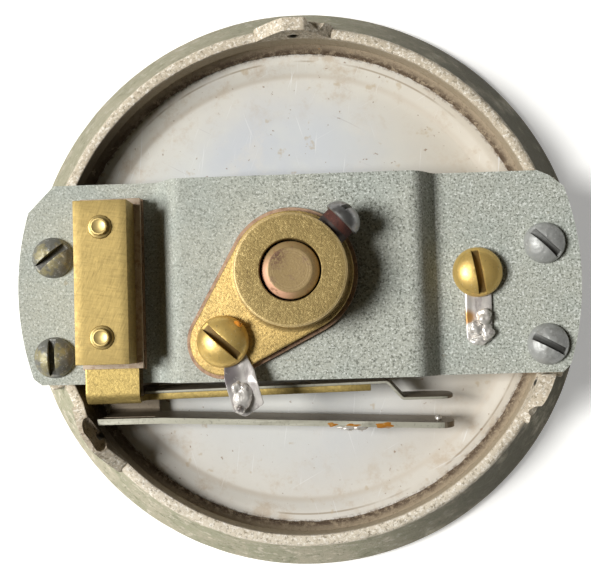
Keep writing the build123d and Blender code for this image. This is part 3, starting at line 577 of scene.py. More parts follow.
def steel(name, color, roughness=0.36, stain=(0.30, 0.27, 0.22), metallic=0.6):
    """Plain or plated steel, stained and scuffed."""
    paint = Paint(name, color, roughness, metallic)
    paint.specks((0.7, 5.0, 0.7), 0.5, 0.7, stain, 0.5)
    paint.specks((3.0, 4.0, 0.7), 0.58, 0.7, shade(color, 2.2), 0.5)
    grain = paint.noise(4.0, 4.0, 0.7)
    paint.rough(grain, roughness - 0.1, roughness + 0.22)
    return paint.bump(grain, 0.02, 0.6).done()


def screw_steel():
    """Zinc-dulled screw heads: paler at the right end, darker at the left with a painted yellow reflection of
    the brass, and painted shade black in the slots.
    """
    paint = Paint("head_steel", (0.42, 0.43, 0.42), 0.46, 0.3)
    left = paint.along("X", -20.0, -26.0)
    paint.tint(left, (0.16, 0.16, 0.14), 0.9)
    # Painted reflection: yellow patches on the left heads stand for the brass reflected in them.
    paint.tint(paint.both(left, paint.step(paint.noise(0.6, 4.0), 0.45, 0.62)), (0.40, 0.35, 0.17), 0.7)
    paint.specks((0.9, 5.0, 0.7), 0.5, 0.7, (0.20, 0.19, 0.17), 0.55)
    paint.specks((2.6, 5.0, 0.7), 0.56, 0.66, (0.74, 0.75, 0.74), 0.45)
    # Painted shade: near black at the floor of each head's slot.
    height = paint.axis("Z")
    below = paint.step(height, BRIDGE_TOP_Z + 1.15, BRIDGE_TOP_Z + 0.92)
    slot_floor_shade = paint.both(below, paint.step(height, BRIDGE_TOP_Z + 0.7, BRIDGE_TOP_Z + 0.86))
    for x, y, _, _ in BRIDGE_SCREWS:
        core = paint.step(paint.radius((x, y)), 2.12, 1.95)
        paint.tint(paint.both(core, slot_floor_shade), (0.015, 0.013, 0.01), 0.97)
    grain = paint.noise(4.0, 4.0, 0.7)
    paint.rough(grain, 0.34, 0.62)
    return paint.bump(grain, 0.03, 0.7).done()


def spring_metal(name, color, light):
    """Rolled nickel silver with long marks along the strip, darker spots and a grey stain."""
    paint = Paint(name, color, 0.42, 0.5)
    line = paint.noise(2.4, 3.0, 0.6, (0.05, 1.0, 1.0))
    paint.tint(paint.step(line, 0.5, 0.7), light, 0.6)
    paint.specks((0.4, 5.0, 0.7), 0.5, 0.72, shade(color, 0.6, 1.05), 0.6)
    paint.specks((3.2, 4.0, 0.7), 0.56, 0.68, shade(color, 0.45), 0.6)
    paint.rough(line, 0.34, 0.55)
    return paint.bump(line, 0.015, 0.7).done()


def fibre(name, color, dark, light):
    """Vulcanised fibre, its fine paper grain and lighter worn spots."""
    paint = Paint(name, color, 0.7)
    paint.specks((1.2, 5.0, 0.7), 0.45, 0.66, dark, 0.8)
    paint.specks((2.5, 4.0, 0.7), 0.56, 0.68, light, 0.7)
    grain = paint.noise(6.0, 4.0, 0.7, (1.0, 0.4, 1.0))
    return paint.bump(grain, 0.04, 0.7).done()


def moulding(name, color, light, roughness=0.45):
    """Dark moulded or rubber part, with a bloom of dust."""
    paint = Paint(name, color, roughness)
    dust = paint.noise(0.8, 5.0, 0.7)
    paint.tint(paint.step(dust, 0.5, 0.72), light, 0.6)
    paint.rough(dust, roughness - 0.1, roughness + 0.25)
    return paint.bump(paint.noise(3.0, 4.0), 0.05, 0.6).done()


def dirty_rubber():
    """Perished rubber: tan with dust by the wall, crumbling to dark brown where it meets the diaphragm, with
    painted shade on its left side.
    """
    paint = Paint("edge_rubber", (0.50, 0.40, 0.28), 0.85)
    crumbs = paint.noise(1.9, 6.0, 0.85)
    paint.tint(paint.step(crumbs, 0.52, 0.64), (0.24, 0.17, 0.11), 0.7)
    # Painted shade: darker towards -X, where the rim shades the rubber.
    paint.tint(paint.along("X", -15.0, -25.0), (0.10, 0.07, 0.04), 0.8)
    inner = paint.step(paint.radius(), 30.05, 29.35)
    spread = paint.both(inner, paint.step(paint.noise(1.3, 5.0, 0.8), 0.36, 0.56))
    paint.tint(spread, (0.10, 0.06, 0.035), 0.92)
    paint.specks((0.9, 5.0, 0.7), 0.60, 0.68, (0.60, 0.48, 0.34), 0.7)
    paint.specks((0.8, 3.0, 0.6), 0.72, 0.76, (0.60, 0.30, 0.10), 0.8)
    return paint.bump(crumbs, 0.35, 1.0).done()


def bright_solder():
    """Tin-lead solder, bright with dull grey-brown skin in places."""
    paint = Paint("bright_solder", (0.86, 0.83, 0.79), 0.38, 0.5)
    paint.tint(paint.near((-7.2, -14.3, 16.6), 0.42, 0.2), (0.10, 0.08, 0.08), 0.9)
    lumps = paint.noise(1.1, 3.0, 0.6)
    paint.specks((1.6, 4.0), 0.54, 0.68, (0.34, 0.29, 0.26), 0.7)
    paint.specks((2.8, 4.0), 0.60, 0.70, (0.95, 0.94, 0.91), 0.7)
    paint.rough(lumps, 0.2, 0.5)
    return paint.bump(lumps, 0.2, 0.7).done()


def tinned_tag():
    """Tinned brass tags, smeared and darkened, with flux by the side tag's solder."""
    paint = Paint("tinned_tag", (0.74, 0.71, 0.68), 0.36, 0.4)
    smear = paint.noise(0.8, 4.0, 0.7, (1.0, 0.4, 1.0))
    paint.tint(paint.step(smear, 0.50, 0.66), (0.36, 0.32, 0.33), 0.6)
    paint.tint(paint.near((-8.7, -10.4, 16.5), 1.5, 0.7), (0.24, 0.21, 0.23), 0.85)
    paint.specks((2.2, 4.0), 0.6, 0.7, (0.90, 0.88, 0.85), 0.6)
    paint.tint(paint.near((19.5, -4.6, 11.0), 0.8, 0.4), (0.58, 0.28, 0.05), 0.9)
    paint.rough(smear, 0.24, 0.5)
    return paint.bump(smear, 0.08, 0.7).done()


def lacquer(name, color, light):
    """A drop of orange sealing lacquer or of flux."""
    paint = Paint(name, color, 0.2)
    paint.specks((2.0, 3.0), 0.5, 0.7, light, 0.7)
    paint.bsdf.inputs["Coat Weight"].default_value = 0.6
    return paint.bump(paint.noise(2.0, 2.0), 0.05, 0.5).done()


def post_metal():
    """The post: a sandy brown face with faint turning marks, and a worn chamfer painted bright copper on its
    left side, a painted highlight where it faces the light.
    """
    paint = Paint("post_metal", (0.355, 0.25, 0.11), 0.5, 0.3)
    radius = paint.radius(CLAMP)
    rings = paint.new("ShaderNodeTexNoise", Vector=paint.scaled((0.0, 0.0, 0.0)), Scale=1.0)
    rings.noise_dimensions = "1D"
    paint.feed(rings.inputs["W"], paint.calc("MULTIPLY", radius, 7.0))
    paint.tint(paint.step(rings.outputs["Fac"], 0.5, 0.7), (0.52, 0.39, 0.21), 0.35)
    sand = paint.noise(3.4, 4.0, 0.75)
    paint.tint(paint.step(sand, 0.52, 0.62), (0.27, 0.18, 0.09), 0.5)
    paint.specks((0.7, 5.0, 0.7), 0.54, 0.66, (0.26, 0.16, 0.10), 0.65)
    stain = paint.both(paint.near((-2.5, 2.8, 20.4), 1.0, 0.8), paint.step(sand, 0.40, 0.52))
    paint.tint(stain, (0.15, 0.07, 0.045), 0.9)
    chamfer = paint.step(radius, 2.48, 2.6)
    paint.tint(chamfer, (0.46, 0.32, 0.15), 0.95)
    # Painted highlight: the chamfer's left side, which faces the light, painted bright copper.
    copper_highlight = paint.both(chamfer, paint.near((-3.6, -0.7, 20.0), 2.8, 1.2))
    paint.tint(copper_highlight, (0.95, 0.55, 0.36), 0.95)
    worn = paint.both(chamfer, paint.step(paint.noise(1.4, 4.0), 0.56, 0.66))
    paint.tint(worn, (0.34, 0.17, 0.09), 0.6)
    paint.rough(sand, 0.42, 0.62)
    return paint.bump(rings.outputs["Fac"], 0.015, 0.5).bump(sand, 0.03, 0.8).done()


def screw_brass():
    """Domed brass heads: satin yellow with specks of tarnish, and painted shade dark at the floor of each
    slot.
    """
    paint = Paint("screw_brass", (0.84, 0.59, 0.19), 0.42, 0.6)
    paint.specks((0.7, 5.0, 0.7), 0.50, 0.7, (0.60, 0.43, 0.15), 0.65)
    paint.specks((2.4, 4.0, 0.7), 0.58, 0.7, (0.40, 0.27, 0.10), 0.5)
    paint.specks((4.0, 3.0, 0.6), 0.60, 0.7, (0.98, 0.84, 0.52), 0.5)
    # Painted shade: dark at the floor of each head's slot.
    for centre, under in ((TAIL, FLANGE_TOP_Z + TAG_LIFT), (TERMINAL, BRIDGE_TOP_Z + TAG_LIFT)):
        height = paint.axis("Z")
        below = paint.step(height, under + 1.25, under + 1.0)
        slot_floor_shade = paint.both(below, paint.step(height, under + 0.7, under + 0.9))
        paint.tint(paint.both(paint.step(paint.radius(centre), 2.65, 2.4), slot_floor_shade), (0.10, 0.06, 0.02), 0.9)
    grain = paint.noise(3.0, 4.0, 0.7)
    paint.rough(grain, 0.32, 0.52)
    return paint.bump(grain, 0.02, 0.6).done()


def gauze():
    """Woven silk: two waves across each other."""
    paint = Paint("screen_gauze", (0.05, 0.05, 0.05), 0.8)
    for turn in (0.0, 90.0):
        wave = paint.new("ShaderNodeTexWave", Vector=paint.scaled((1 / MM,) * 3, turn), Scale=1.2)
        paint.tint(paint.step(wave.outputs["Fac"], 0.5, 0.9), (0.16, 0.15, 0.13), 0.8)
        paint.bump(wave.outputs["Fac"], 0.05, 0.6)
    return paint.done()


def carbon():
    """Black carbon with a faint sheen on its grains."""
    paint = Paint("carbon", (0.03, 0.03, 0.03), 0.35, 0.2)
    paint.specks((3.0, 4.0, 0.7), 0.55, 0.7, (0.09, 0.09, 0.09), 0.8)
    return paint.bump(paint.noise(5.0, 4.0, 0.7), 0.05, 0.8).done()


def mica():
    """Thin amber mica, which lets some light through."""
    paint = Paint("mica", (0.62, 0.55, 0.38), 0.15)
    paint.specks((0.6, 5.0, 0.7), 0.5, 0.7, (0.40, 0.33, 0.20), 0.6)
    paint.bsdf.inputs["Alpha"].default_value = 0.7
    return paint.bump(paint.noise(1.5, 3.0), 0.02, 0.4).done()


ZINC = speckled_zinc()
RING = cast_zinc()
SHEET = diaphragm_sheet()
RUBBER = dirty_rubber()
BAR_MARKS = ((16.0, 6.0), (28.0, 4.4), (-80.0, 5.4))
BAR_BRASS = brass("bar_brass", (0.44, 0.325, 0.119), 0.5, BAR_MARKS, patina=0.2)
TAB_BRASS = brass("tab_brass", (0.52, 0.39, 0.136), 0.46, ((-40.0, 4.0), (-62.0, 3.2)), 0.04, 3.0, 0.2)
STAKE_BRASS = brass("stake_brass", (0.66, 0.50, 0.20), 0.4, patina=0.3)
BOSS_BRASS = clamp_brass()
PLAIN_BRASS = brass("plain_brass", patina=0.5)
SCREW_BRASS = screw_brass()
HEAD_STEEL = screw_steel()
PLAIN_STEEL = steel("plain_steel", (0.20, 0.18, 0.165), 0.4, (0.10, 0.06, 0.04))
SET_STEEL = steel("set_screw_steel", (0.32, 0.32, 0.32), 0.32, (0.12, 0.10, 0.09), 0.85)
WASHER_STEEL = steel("washer_steel", (0.07, 0.055, 0.05), 0.5, (0.04, 0.025, 0.02))
# Lit and shaded copies of one nickel silver: the dark brown one is painted shade for the springs' sides and
# flanges, the pale one a painted highlight for their upper edges.
SPRING_SHADED = spring_metal("spring_metal", (0.25, 0.205, 0.15), (0.36, 0.31, 0.235))
SPRING_LIT_EDGE = spring_metal("spring_lit_edge", (0.52, 0.51, 0.42), (0.70, 0.69, 0.60))
FIBRE = fibre("red_fibre", (0.45, 0.29, 0.19), (0.22, 0.12, 0.08), (0.62, 0.50, 0.39))
DARK_FIBRE = fibre("dark_red_fibre", (0.075, 0.02, 0.012), (0.03, 0.01, 0.008), (0.17, 0.05, 0.03))
PALE_FIBRE = fibre("pale_fibre", (0.62, 0.50, 0.38), (0.42, 0.28, 0.18), (0.80, 0.72, 0.60))
GREY_FIBRE = fibre("grey_fibre", (0.28, 0.24, 0.20), (0.15, 0.12, 0.10), (0.46, 0.42, 0.36))
EBONITE = moulding("ebonite", (0.03, 0.027, 0.025), (0.14, 0.13, 0.11))
GASKET = moulding("gasket_rubber", (0.05, 0.04, 0.035), (0.16, 0.13, 0.10), 0.7)
SOLDER = bright_solder()
TAG = tinned_tag()
LACQUER = lacquer("orange_lacquer", (0.72, 0.27, 0.03), (0.84, 0.50, 0.10))
FLUX = lacquer("brown_flux", (0.42, 0.17, 0.025), (0.60, 0.40, 0.16))
POST = post_metal()
SILVER = steel("silver_contact", (0.74, 0.72, 0.68), 0.24, (0.45, 0.40, 0.34))
GAUZE = gauze()
CARBON = carbon()
MICA = mica()

NODE_PAINT = {
    "sound_screen": GAUZE, "front_gasket": GASKET, "post_bush": EBONITE, "button_cup": PLAIN_BRASS,
    "cup_clamp_ring": PLAIN_BRASS, "mica_washer": MICA, "front_electrode": PLAIN_BRASS,
    "front_carbon_disc": CARBON, "carbon_granules": CARBON, "rear_carbon_disc": CARBON,
    "rear_electrode": PLAIN_BRASS, "stud_washers": PLAIN_BRASS, "stud_nuts": PLAIN_BRASS,
    "set_screw_steel_washer": WASHER_STEEL, "set_screw_fibre_washer": DARK_FIBRE, "tail_bush": EBONITE,
    "tail_nut": PLAIN_BRASS, "terminal_nut": PLAIN_BRASS, "press_spring_block": GREY_FIBRE,
    "bar_bushes": EBONITE, "upper_contact": SILVER, "contact_rivet": SILVER, "foot_screws": PLAIN_STEEL,
}
for node_name, material in NODE_PAINT.items():
    for material_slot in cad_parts[node_name].material_slots:
        material_slot.material = material


# ---- cup, rubber and diaphragm


def build_cup():
    """A turned cup with a drilled front, a worn rim, and two lugs that the bridge's screws go into."""
    outer, foot_round, bore, seat, front = 35.0, 1.6, 30.1, 28.2, 1.2
    taper, wall_height, wall_cuts = 3.7, 7.15, 14
    profile = [(0.0, 0.0), (outer - foot_round, 0.0)]
    profile += arc((outer - foot_round, foot_round), foot_round, -85, 0, 8)
    for cut in range(1, wall_cuts):
        profile.append((outer - taper * cut / wall_cuts, foot_round + wall_height * cut / wall_cuts))
    profile += [(31.42, 8.72), (31.3, 8.88), (31.12, RIM_Z), (30.3, RIM_Z), (30.14, 8.92), (bore, 8.75)]
    profile += [(bore, z) for z in (7.5, 6.0, 4.5, 3.2, 3.0)]
    profile += [(seat, 3.0), (seat, 1.35), (28.05, front), (0.0, front)]
    cup = lathe(profile, 288)
    drill_profile = [(0.0, -1.0), (1.9, -1.0), (1.9, 0.0), (1.6, 0.3), (1.6, 2.2), (0.0, 2.2)]
    drills = []
    for ring_radius, count in SOUND_HOLE_RINGS:
        for index in range(count):
            angle = 2 * math.pi * index / count
            centre = (ring_radius * math.cos(angle), ring_radius * math.sin(angle))
            drills.append(lathe(drill_profile, 28, centre))
    cup = carve(cup, join(*drills))
    roughen(cup, 0.05, 1.9, 3.0)
    for vert in cup.verts:
        if vert.co.z > 8.4:
            chip = max(0.0, noise.noise(vert.co * 1.1) + 0.15) + max(0.0, noise.noise(vert.co * 2.6))
            vert.co.z -= 0.10 * chip
            spread = math.hypot(vert.co.x, vert.co.y)
            if spread > 30.6:
                vert.co.x -= vert.co.x / spread * 0.16 * chip
                vert.co.y -= vert.co.y / spread * 0.16 * chip
        elif vert.co.z < 0.1:
            vert.co.z = 0.005
    lugs = []
    for side in (0.0, 180.0):
        half = math.degrees(math.asin(11.0 / 30.0))
        outline = arc((0, 0), 33.0, side - half, side + half, 24)
        outline += arc((0, 0), 26.8, side + half, side - half, 24)
        lugs.append(soften(prism(outline, 5.3, 8.98), 0.3))
    return join(cup, *lugs)


def ear(angle, scoop, size, trim=None):
    """One ear: a low trapezoid on the rim, curved with it, with a hole, a scoop, and cut off at y = trim."""
    corners = [(-4.9, -1.0), (4.9, -1.0), (4.7, 0.05), (1.3, 3.3), (-1.3, 3.3), (-4.7, 0.05)]
    outline = rounded(corners, (0, 0, 0.9, 0.8, 0.8, 0.9))
    slab = prism(outline, -0.62, 1.05)
    for step in range(-9, 10):
        slice_at(slab, (step * 0.5, 0, 0))
    soften(slab, 0.16, 3, 50)
    hole = placed(lathe([(0.0, -2.0), (0.7, -2.0), (0.7, 2.0), (0.0, 2.0)], 32), at(0.0, 0.5, 0.0))
    slab = carve(carve(slab, hole), blob(scoop, size, 0.45, angle, 3))
    subdivided(slab, 0.6, 2)
    roughen(slab, 0.12, 0.9, angle)
    direction = math.radians(angle)
    for vert in slab.verts:
        along, height, outward = vert.co
        radius = EAR_RADIUS + outward
        turned = direction + along / EAR_RADIUS
        vert.co = Vector((radius * math.cos(turned), radius * math.sin(turned), RIM_Z + height))
    if trim is not None:
        slice_at(slab, (0, trim, 0), (0, 1, 0), clear_outer=True)
        bmesh.ops.holes_fill(slab, edges=slab.edges)
    return slab


BELOW_BRIDGE = BRIDGE_SIDES[0] - 0.2
top_ear = ear(EAR_ANGLES[0], (-3.3, 2.4, 1.1), (1.7, 1.5, 1.1))
left_ear = ear(EAR_ANGLES[1], (-0.4, 3.0, -1.0), (2.6, 1.9, 1.75), BELOW_BRIDGE)
right_ear = ear(EAR_ANGLES[2], (-3.4, 1.6, 1.3), (1.7, 1.5, 1.1), BELOW_BRIDGE)
cup = join(build_cup(), top_ear, left_ear, right_ear)
piece("cup", cup, RING, "cast_ring", "faceplate", sharp=45)

profile = [(29.65, 3.7), (30.25, 3.7), (30.3, 5.9), (30.05, 5.7), (29.75, 5.3), (29.45, 4.92), (29.2, 4.64)]
gasket = lathe(profile + [(29.15, 4.52), (29.62, 4.5)], 420)
for vert in gasket.verts:
    if math.hypot(vert.co.x, vert.co.y) < 29.7:
        crumb = noise.noise(vert.co / 0.6) + 0.6 * noise.noise(vert.co / 0.25)
        vert.co.z += 0.22 * crumb
        vert.co.xy *= 1 + 0.003 * (crumb + 0.3)
        vert.co.z = max(vert.co.z, 4.49)
piece("edge_rubber", gasket, RUBBER, "gasket_rubber", "edge_gasket", sharp=60)


def build_diaphragm():
    """A flat sheet with a raised rim, slightly dented."""
    top = [(1.3, 3.45)] + [(r, 3.45) for r in (4, 8, 12, 16, 20, 23, 25)]
    top += [(26.2, 3.47), (26.5, 3.55), (26.9, 3.75), (27.4, 4.0), (27.9, 4.24), (28.2, 4.33)]
    top += [(28.6, 4.35), (29.5, 4.35)]
    under = [(r, z - 0.45) for r, z in reversed(top)]
    sheet = lathe(top + under, 220)
    for vert in sheet.verts:
        dent = noise.noise(vert.co / 7.0) * 0.05 + noise.noise(vert.co / 2.5 + Vector((9, 0, 0))) * 0.015
        vert.co.z += min(dent, 0.0)
    return sheet


diaphragm = build_diaphragm()
piece("diaphragm_sheet", diaphragm, SHEET, "diaphragm_aluminium", "diaphragm", body="diaphragm_assembly")


# ---- bridge and its screws


def bend_curve(corners, radii, steps=10):
    """(x, z) points along a bent strip's surface, its corners rounded."""
    points = [corners[0]]
    for index in range(1, len(corners) - 1):
        here = Vector(corners[index])
        back = (Vector(corners[index - 1]) - here).normalized()
        ahead = (Vector(corners[index + 1]) - here).normalized()
        half = back.angle(ahead) / 2
        reach = radii[index - 1] / math.tan(half)
        start, end = here + back * reach, here + ahead * reach
        for step in range(steps + 1):
            t = step / steps
            points.append(tuple(start * (1 - t) ** 2 + here * (2 * t * (1 - t)) + end * t**2))
    points.append(corners[-1])
    return points


def level(points, x):
    """The height of a bent strip's surface at x."""
    for (x1, z1), (x2, z2) in zip(points, points[1:]):
        if x1 <= x <= x2:
            return z1 + (z2 - z1) * (x - x1) / (x2 - x1)
    return points[-1][1]


def mirrored(points):
    """A strip's right half, from the middle out, with its mirror image before it."""
    return [(-x, z) for x, z in reversed(points)] + points


def build_bridge():
    """A flat strip cut across often enough to be bent, then raised in its middle and softened."""
    slope = math.radians(57.0)
    foot = 16.6
    end = 37.0
    crest = foot - BRIDGE_RISE / math.tan(slope)
    shift = BRIDGE_THICKNESS * math.tan(slope / 2)
    crest_top = BRIDGE_THICKNESS + BRIDGE_RISE
    half_top = [(foot, BRIDGE_THICKNESS), (end, BRIDGE_THICKNESS)]
    half_low = [(crest - shift, BRIDGE_RISE), (foot - shift, 0), (end, 0)]
    top = bend_curve(mirrored([(crest, crest_top)] + half_top), (0.9, 2.3, 2.3, 0.9))
    low = bend_curve(mirrored(half_low), (2.3, 0.8, 0.8, 2.3))
    near_y, far_y = BRIDGE_SIDES
    near_end, far_end = (math.degrees(math.asin(y / BRIDGE_END_RADIUS)) for y in BRIDGE_SIDES)
    right = arc((0, 0), BRIDGE_END_RADIUS, near_end + 1.6, far_end - 3.6, 24)
    left = arc((0, 0), BRIDGE_END_RADIUS, 163.8, 180 - near_end - 1.4, 24)
    outline = [(-29.2, far_y), (-32.4, 9.4)] + left
    outline += [(-31.0, near_y), (31.1, near_y)] + right + [(30.3, 12.0), (28.9, far_y)]
    strip = prism(outline, 0.0, 1.0)
    cuts = [x / 10 for x in range(-184, -120, 3)] + [x / 10 for x in range(121, 186, 3)]
    for x in cuts + list(range(-30, 31, 2)):
        slice_at(strip, (x, 0, 0))
    for y in (-8, -4, 0, 4, 8):
        slice_at(strip, (0, y, 0), (0, 1, 0))
    for vert in strip.verts:
        curve = top if vert.co.z > 0.5 else low
        vert.co.z = RIM_Z + level(curve, vert.co.x)
        vert.co.x += BRIDGE_CENTRE_X
    soften(strip, 0.28, 3, 55)
    for vert in strip.verts:
        wave = noise.noise(vert.co / 9.0 + Vector((3, 5, 0)))
        vert.co.z -= max(0.0, wave) * 0.06
    return strip


piece("bridge_strip", build_bridge(), ZINC, "bridge_zinc", "bridge", sharp=21)


def domed_screw(radius, height, shank_radius, length, slot, turn, wear=0.03, seed=1.0):
    """A round slotted head standing on Z = 0 over a plain shank, its slot edges bruised."""
    head = [(0.0, -length), (shank_radius - 0.2, -length), (shank_radius, -length + 0.2), (shank_radius, 0.0)]
    head += [(radius - 0.12, 0.0), (radius, 0.14)]
    for step in range(1, 15):
        angle = math.radians(90.0 * step / 15)
        head.append((radius * math.cos(angle) ** 0.92, 0.14 + (height - 0.14) * math.sin(angle)))
    head.append((0.0, height))
    screw = lathe(head, 64)
    width, depth = slot
    half = width / 2
    groove = prism([(-radius - 1, -half), (radius + 1, -half), (radius + 1, half), (-radius - 1, half)],
                   height - depth, height + 1)
    placed(groove, at(0, 0, 0, turn))
    screw = carve(screw, groove)
    soften(screw, 0.06, 2, 40)
    for vert in screw.verts:
        if vert.co.z > 0.2:
            bruise = noise.noise(vert.co * 1.6 + Vector((seed, 0, seed)))
            vert.co.z -= abs(bruise) * wear
    return screw


heads = []
for x, y, turn, seed in BRIDGE_SCREWS:
    screw = domed_screw(2.45, 1.9, 1.2, 4.6, (0.86, 1.05), turn, 0.12, seed)
    heads.append(placed(screw, at(x, y, BRIDGE_TOP_Z)))
piece("bridge_screw_heads", join(*heads), HEAD_STEEL, "steel_screw", "bridge_screws")


# ---- clamp, post and tail terminal


def teardrop(big_radius, tail_radius, steps=40):
    """The outline round two circles, one on the clamp's axis and one on the tail screw's."""
    big, tail = Vector(CLAMP), Vector(TAIL)
    line = tail - big
    direction = math.degrees(math.atan2(line.y, line.x))
    lean = math.degrees(math.acos((big_radius - tail_radius) / line.length))
    outline = arc(tail, tail_radius, direction - lean, direction + lean, steps)
    return outline + arc(big, big_radius, direction + lean, direction - lean + 360, steps * 2)


INSULATOR_TOP_Z = CREST_TOP_Z + 0.8
sheet = soften(prism(teardrop(7.65, 4.4), CREST_TOP_Z, INSULATOR_TOP_Z), 0.14)
piece("clamp_fibre", roughen(sheet, 0.07, 1.1, 2.0), FIBRE, "fibre_red", "clamp_insulator")


def build_clamp():
    """The flange, and the boss with its shoulder, its bore and a fillet at its foot."""
    flange = soften(prism(teardrop(7.1, 3.9), INSULATOR_TOP_Z, FLANGE_TOP_Z), 0.22, 4)
    profile = [(3.35, 14.9), (6.4, 14.9), (6.4, 16.2), (6.4, 18.0), (6.4, 19.9)]
    profile += arc((6.12, 20.22), 0.28, 0, 90, 5)
    profile += [(5.2, 20.5), (4.4, 20.5), (3.56, 20.5), (3.48, 20.46)]
    profile += [(3.45, 20.36), (3.43, 19.0), (3.35, 18.9)]
    boss = roughen(lathe(profile, 160, CLAMP), 0.05, 0.8, 4.0)
    fillet = [(6.2, 15.6), (6.95, 15.9), (6.7, 15.98), (6.5, 16.12), (6.4, 16.35), (6.2, 16.4)]
    return join(flange, boss, lathe(fillet, 128, CLAMP))


piece("brass_clamp", build_clamp(), BOSS_BRASS, "brass", "boss_clamp", sharp=21)


def build_post():
    """From the stub under its collar up to its edge, and in across its chamfered face."""
    profile = [(0.0, 9.1), (1.5, 9.1), (1.5, 11.0), (5.0, 11.05), (5.0, 11.7), (3.25, 11.7), (3.25, 19.5)]
    profile += [(3.22, 19.8), (3.14, 19.92), (2.56, 20.33), (2.46, 20.38), (2.35, 20.38), (1.6, 20.34)]
    return lathe(profile + [(0.0, 20.34)], 96, CLAMP)


piece("centre_post", build_post(), POST, "post_steel", "electrode_post")


def build_set_screw():
    """Its head looks outward along its direction, so the screw's own Z turns to that."""
    direction, height, head_at = SET_SCREW
    outward = Vector((*polar(1.0, direction), 0.0))
    upward = Vector((0.0, 0.0, 1.0))
    turn = Matrix((upward, upward.cross(outward), outward)).transposed().to_4x4()
    origin = Vector((*CLAMP, height)) + outward * head_at
    screw = domed_screw(2.3, 2.05, 1.2, 4.6, (0.7, 0.95), 20.0, 0.06, 5.0)
    return placed(screw, Matrix.Translation(origin) @ turn)


piece("clamp_screw", build_set_screw(), SET_STEEL, "steel_screw", "clamp_set_screw")

tail_screw = domed_screw(3.0, 2.1, 1.4, 6.4, (0.9, 1.15), -42.5, 0.02, 2.0)
placed(tail_screw, at(*TAIL, FLANGE_TOP_Z + TAG_LIFT))
piece("tail_terminal_screw", tail_screw, SCREW_BRASS, "brass", "tail_screw")
side_screw = domed_screw(2.95, 2.1, 1.4, 4.1, (0.9, 1.15), 99.2, 0.02, 7.0)
placed(side_screw, at(*TERMINAL, BRIDGE_TOP_Z + TAG_LIFT))
piece("side_terminal_screw", side_screw, SCREW_BRASS, "brass", "terminal_screw")


def tongue(outline, z, thickness, shape, longest=0.35):
    """A thin tag whose height follows shape(x, y)."""
    sheet = soften(prism(outline, 0.0, thickness), 0.1, 2, 50)
    bmesh.ops.triangulate(sheet, faces=sheet.faces)
    subdivided(sheet, longest, 5)
    for vert in sheet.verts:
        vert.co.z += z + shape(vert.co.x, vert.co.y)
    return sheet


def tag_eye(centre, radius, z):
    """The ring of a solder tag, which its screw's head covers."""
    low, high = z + 0.02, z + 0.45
    return soften(lathe([(1.5, low), (radius, low), (radius, high), (1.5, high)], 64, centre), 0.08)


def build_tail_tag():
    corners = [(-8.9, -7.7), (-6.5, -8.0), (-5.5, -9.9), (-4.5, -13.9), (-6.7, -15.4), (-8.0, -14.7)]
    outline = rounded(corners + [(-8.9, -11.0)], (0.3, 0.3, 0.5, 0.4, 0.7, 0.5, 0.5))

    def shape(x, y):
        """Creased along a slanting line: the left half rises, and the end past a second crease droops."""
        left = max(0.0, -7.25 - x - (y + 10.0) * 0.22)
        droop = max(0.0, -11.6 - y + (x + 7.0) * 0.25)
        clear = min(1.0, max(0.0, (-10.3 - y) / 1.2))
        right = max(0.0, x + 6.5 + (y + 10.0) * 0.22) * clear
        lift = 0.30 * left + 0.42 * right - 0.30 * droop * clear
        return lift + 0.10 * noise.noise(Vector((x, y, 0)) * 0.9)

    return join(tag_eye(TAIL, 2.75, FLANGE_TOP_Z), tongue(outline, FLANGE_TOP_Z, 0.42, shape))


piece("tail_solder_tag", build_tail_tag(), TAG, "brass", "tail_tag", sharp=60)
lump = join(
    blob((-6.95, -12.9, 16.1), (1.15, 1.5, 0.7), 0.22, 2.0),
    blob((-7.6, -12.0, 16.35), (0.7, 0.8, 0.45), 0.3, 5.0),
    blob((-7.2, -14.35, 16.2), (0.62, 0.58, 0.55), 0.25, 8.0),
)
piece("tail_solder_lump", lump, SOLDER, "solder", "tail_solder", sharp=60)

drop = blob((-7.35, -4.75, 17.35), (0.65, 0.45, 0.32), 0.4, 3.0)
piece("lacquer_drop", drop, LACQUER, "brass")


# ---- side terminal's tag


def build_side_tag():
    outline = rounded([(19.35, -7.6), (22.4, -7.7), (22.45, -1.0), (19.25, -1.0)], (0.8, 0.9, 0.2, 0.2))

    def shape(x, y):
        """Flat, with a low ridge along its left edge."""
        lift = 0.18 * max(0.0, 1 - abs(x - 19.5) / 0.6)
        return lift + 0.06 * noise.noise(Vector((x, y, 4)) * 1.1)

    return join(tag_eye(TERMINAL, 2.7, BRIDGE_TOP_Z), tongue(outline, BRIDGE_TOP_Z + 0.02, 0.42, shape))


piece("side_solder_tag", build_side_tag(), TAG, "brass", "terminal_tag", sharp=60)
lump = join(
    blob((21.45, -4.6, 11.2), (0.85, 0.95, 0.75), 0.3, 2.0),
    blob((20.35, -5.9, 11.15), (0.9, 0.95, 0.7), 0.35, 6.0),
    blob((21.75, -6.4, 11.1), (0.75, 0.95, 0.7), 0.35, 9.0),
    blob((20.7, -7.3, 11.0), (1.05, 0.6, 0.5), 0.4, 4.0),
)
piece("side_solder_lump", lump, SOLDER, "solder", "terminal_solder", sharp=60)


# ---- clamp bar, fibre sheets and stakes


def plate(x_range, y_range, z_range, width, seed, wear=0.05, segments=3):
    """A flat plate with softened edges and a slightly uneven surface."""
    (x1, x2), (y1, y2) = x_range, y_range
    bm = prism([(x1, y1), (x2, y1), (x2, y2), (x1, y2)], *z_range)
    bmesh.ops.subdivide_edges(bm, edges=bm.edges, cuts=5, use_grid_fill=True)
    soften(bm, width, segments)
    return roughen(bm, wear, 2.0, seed)


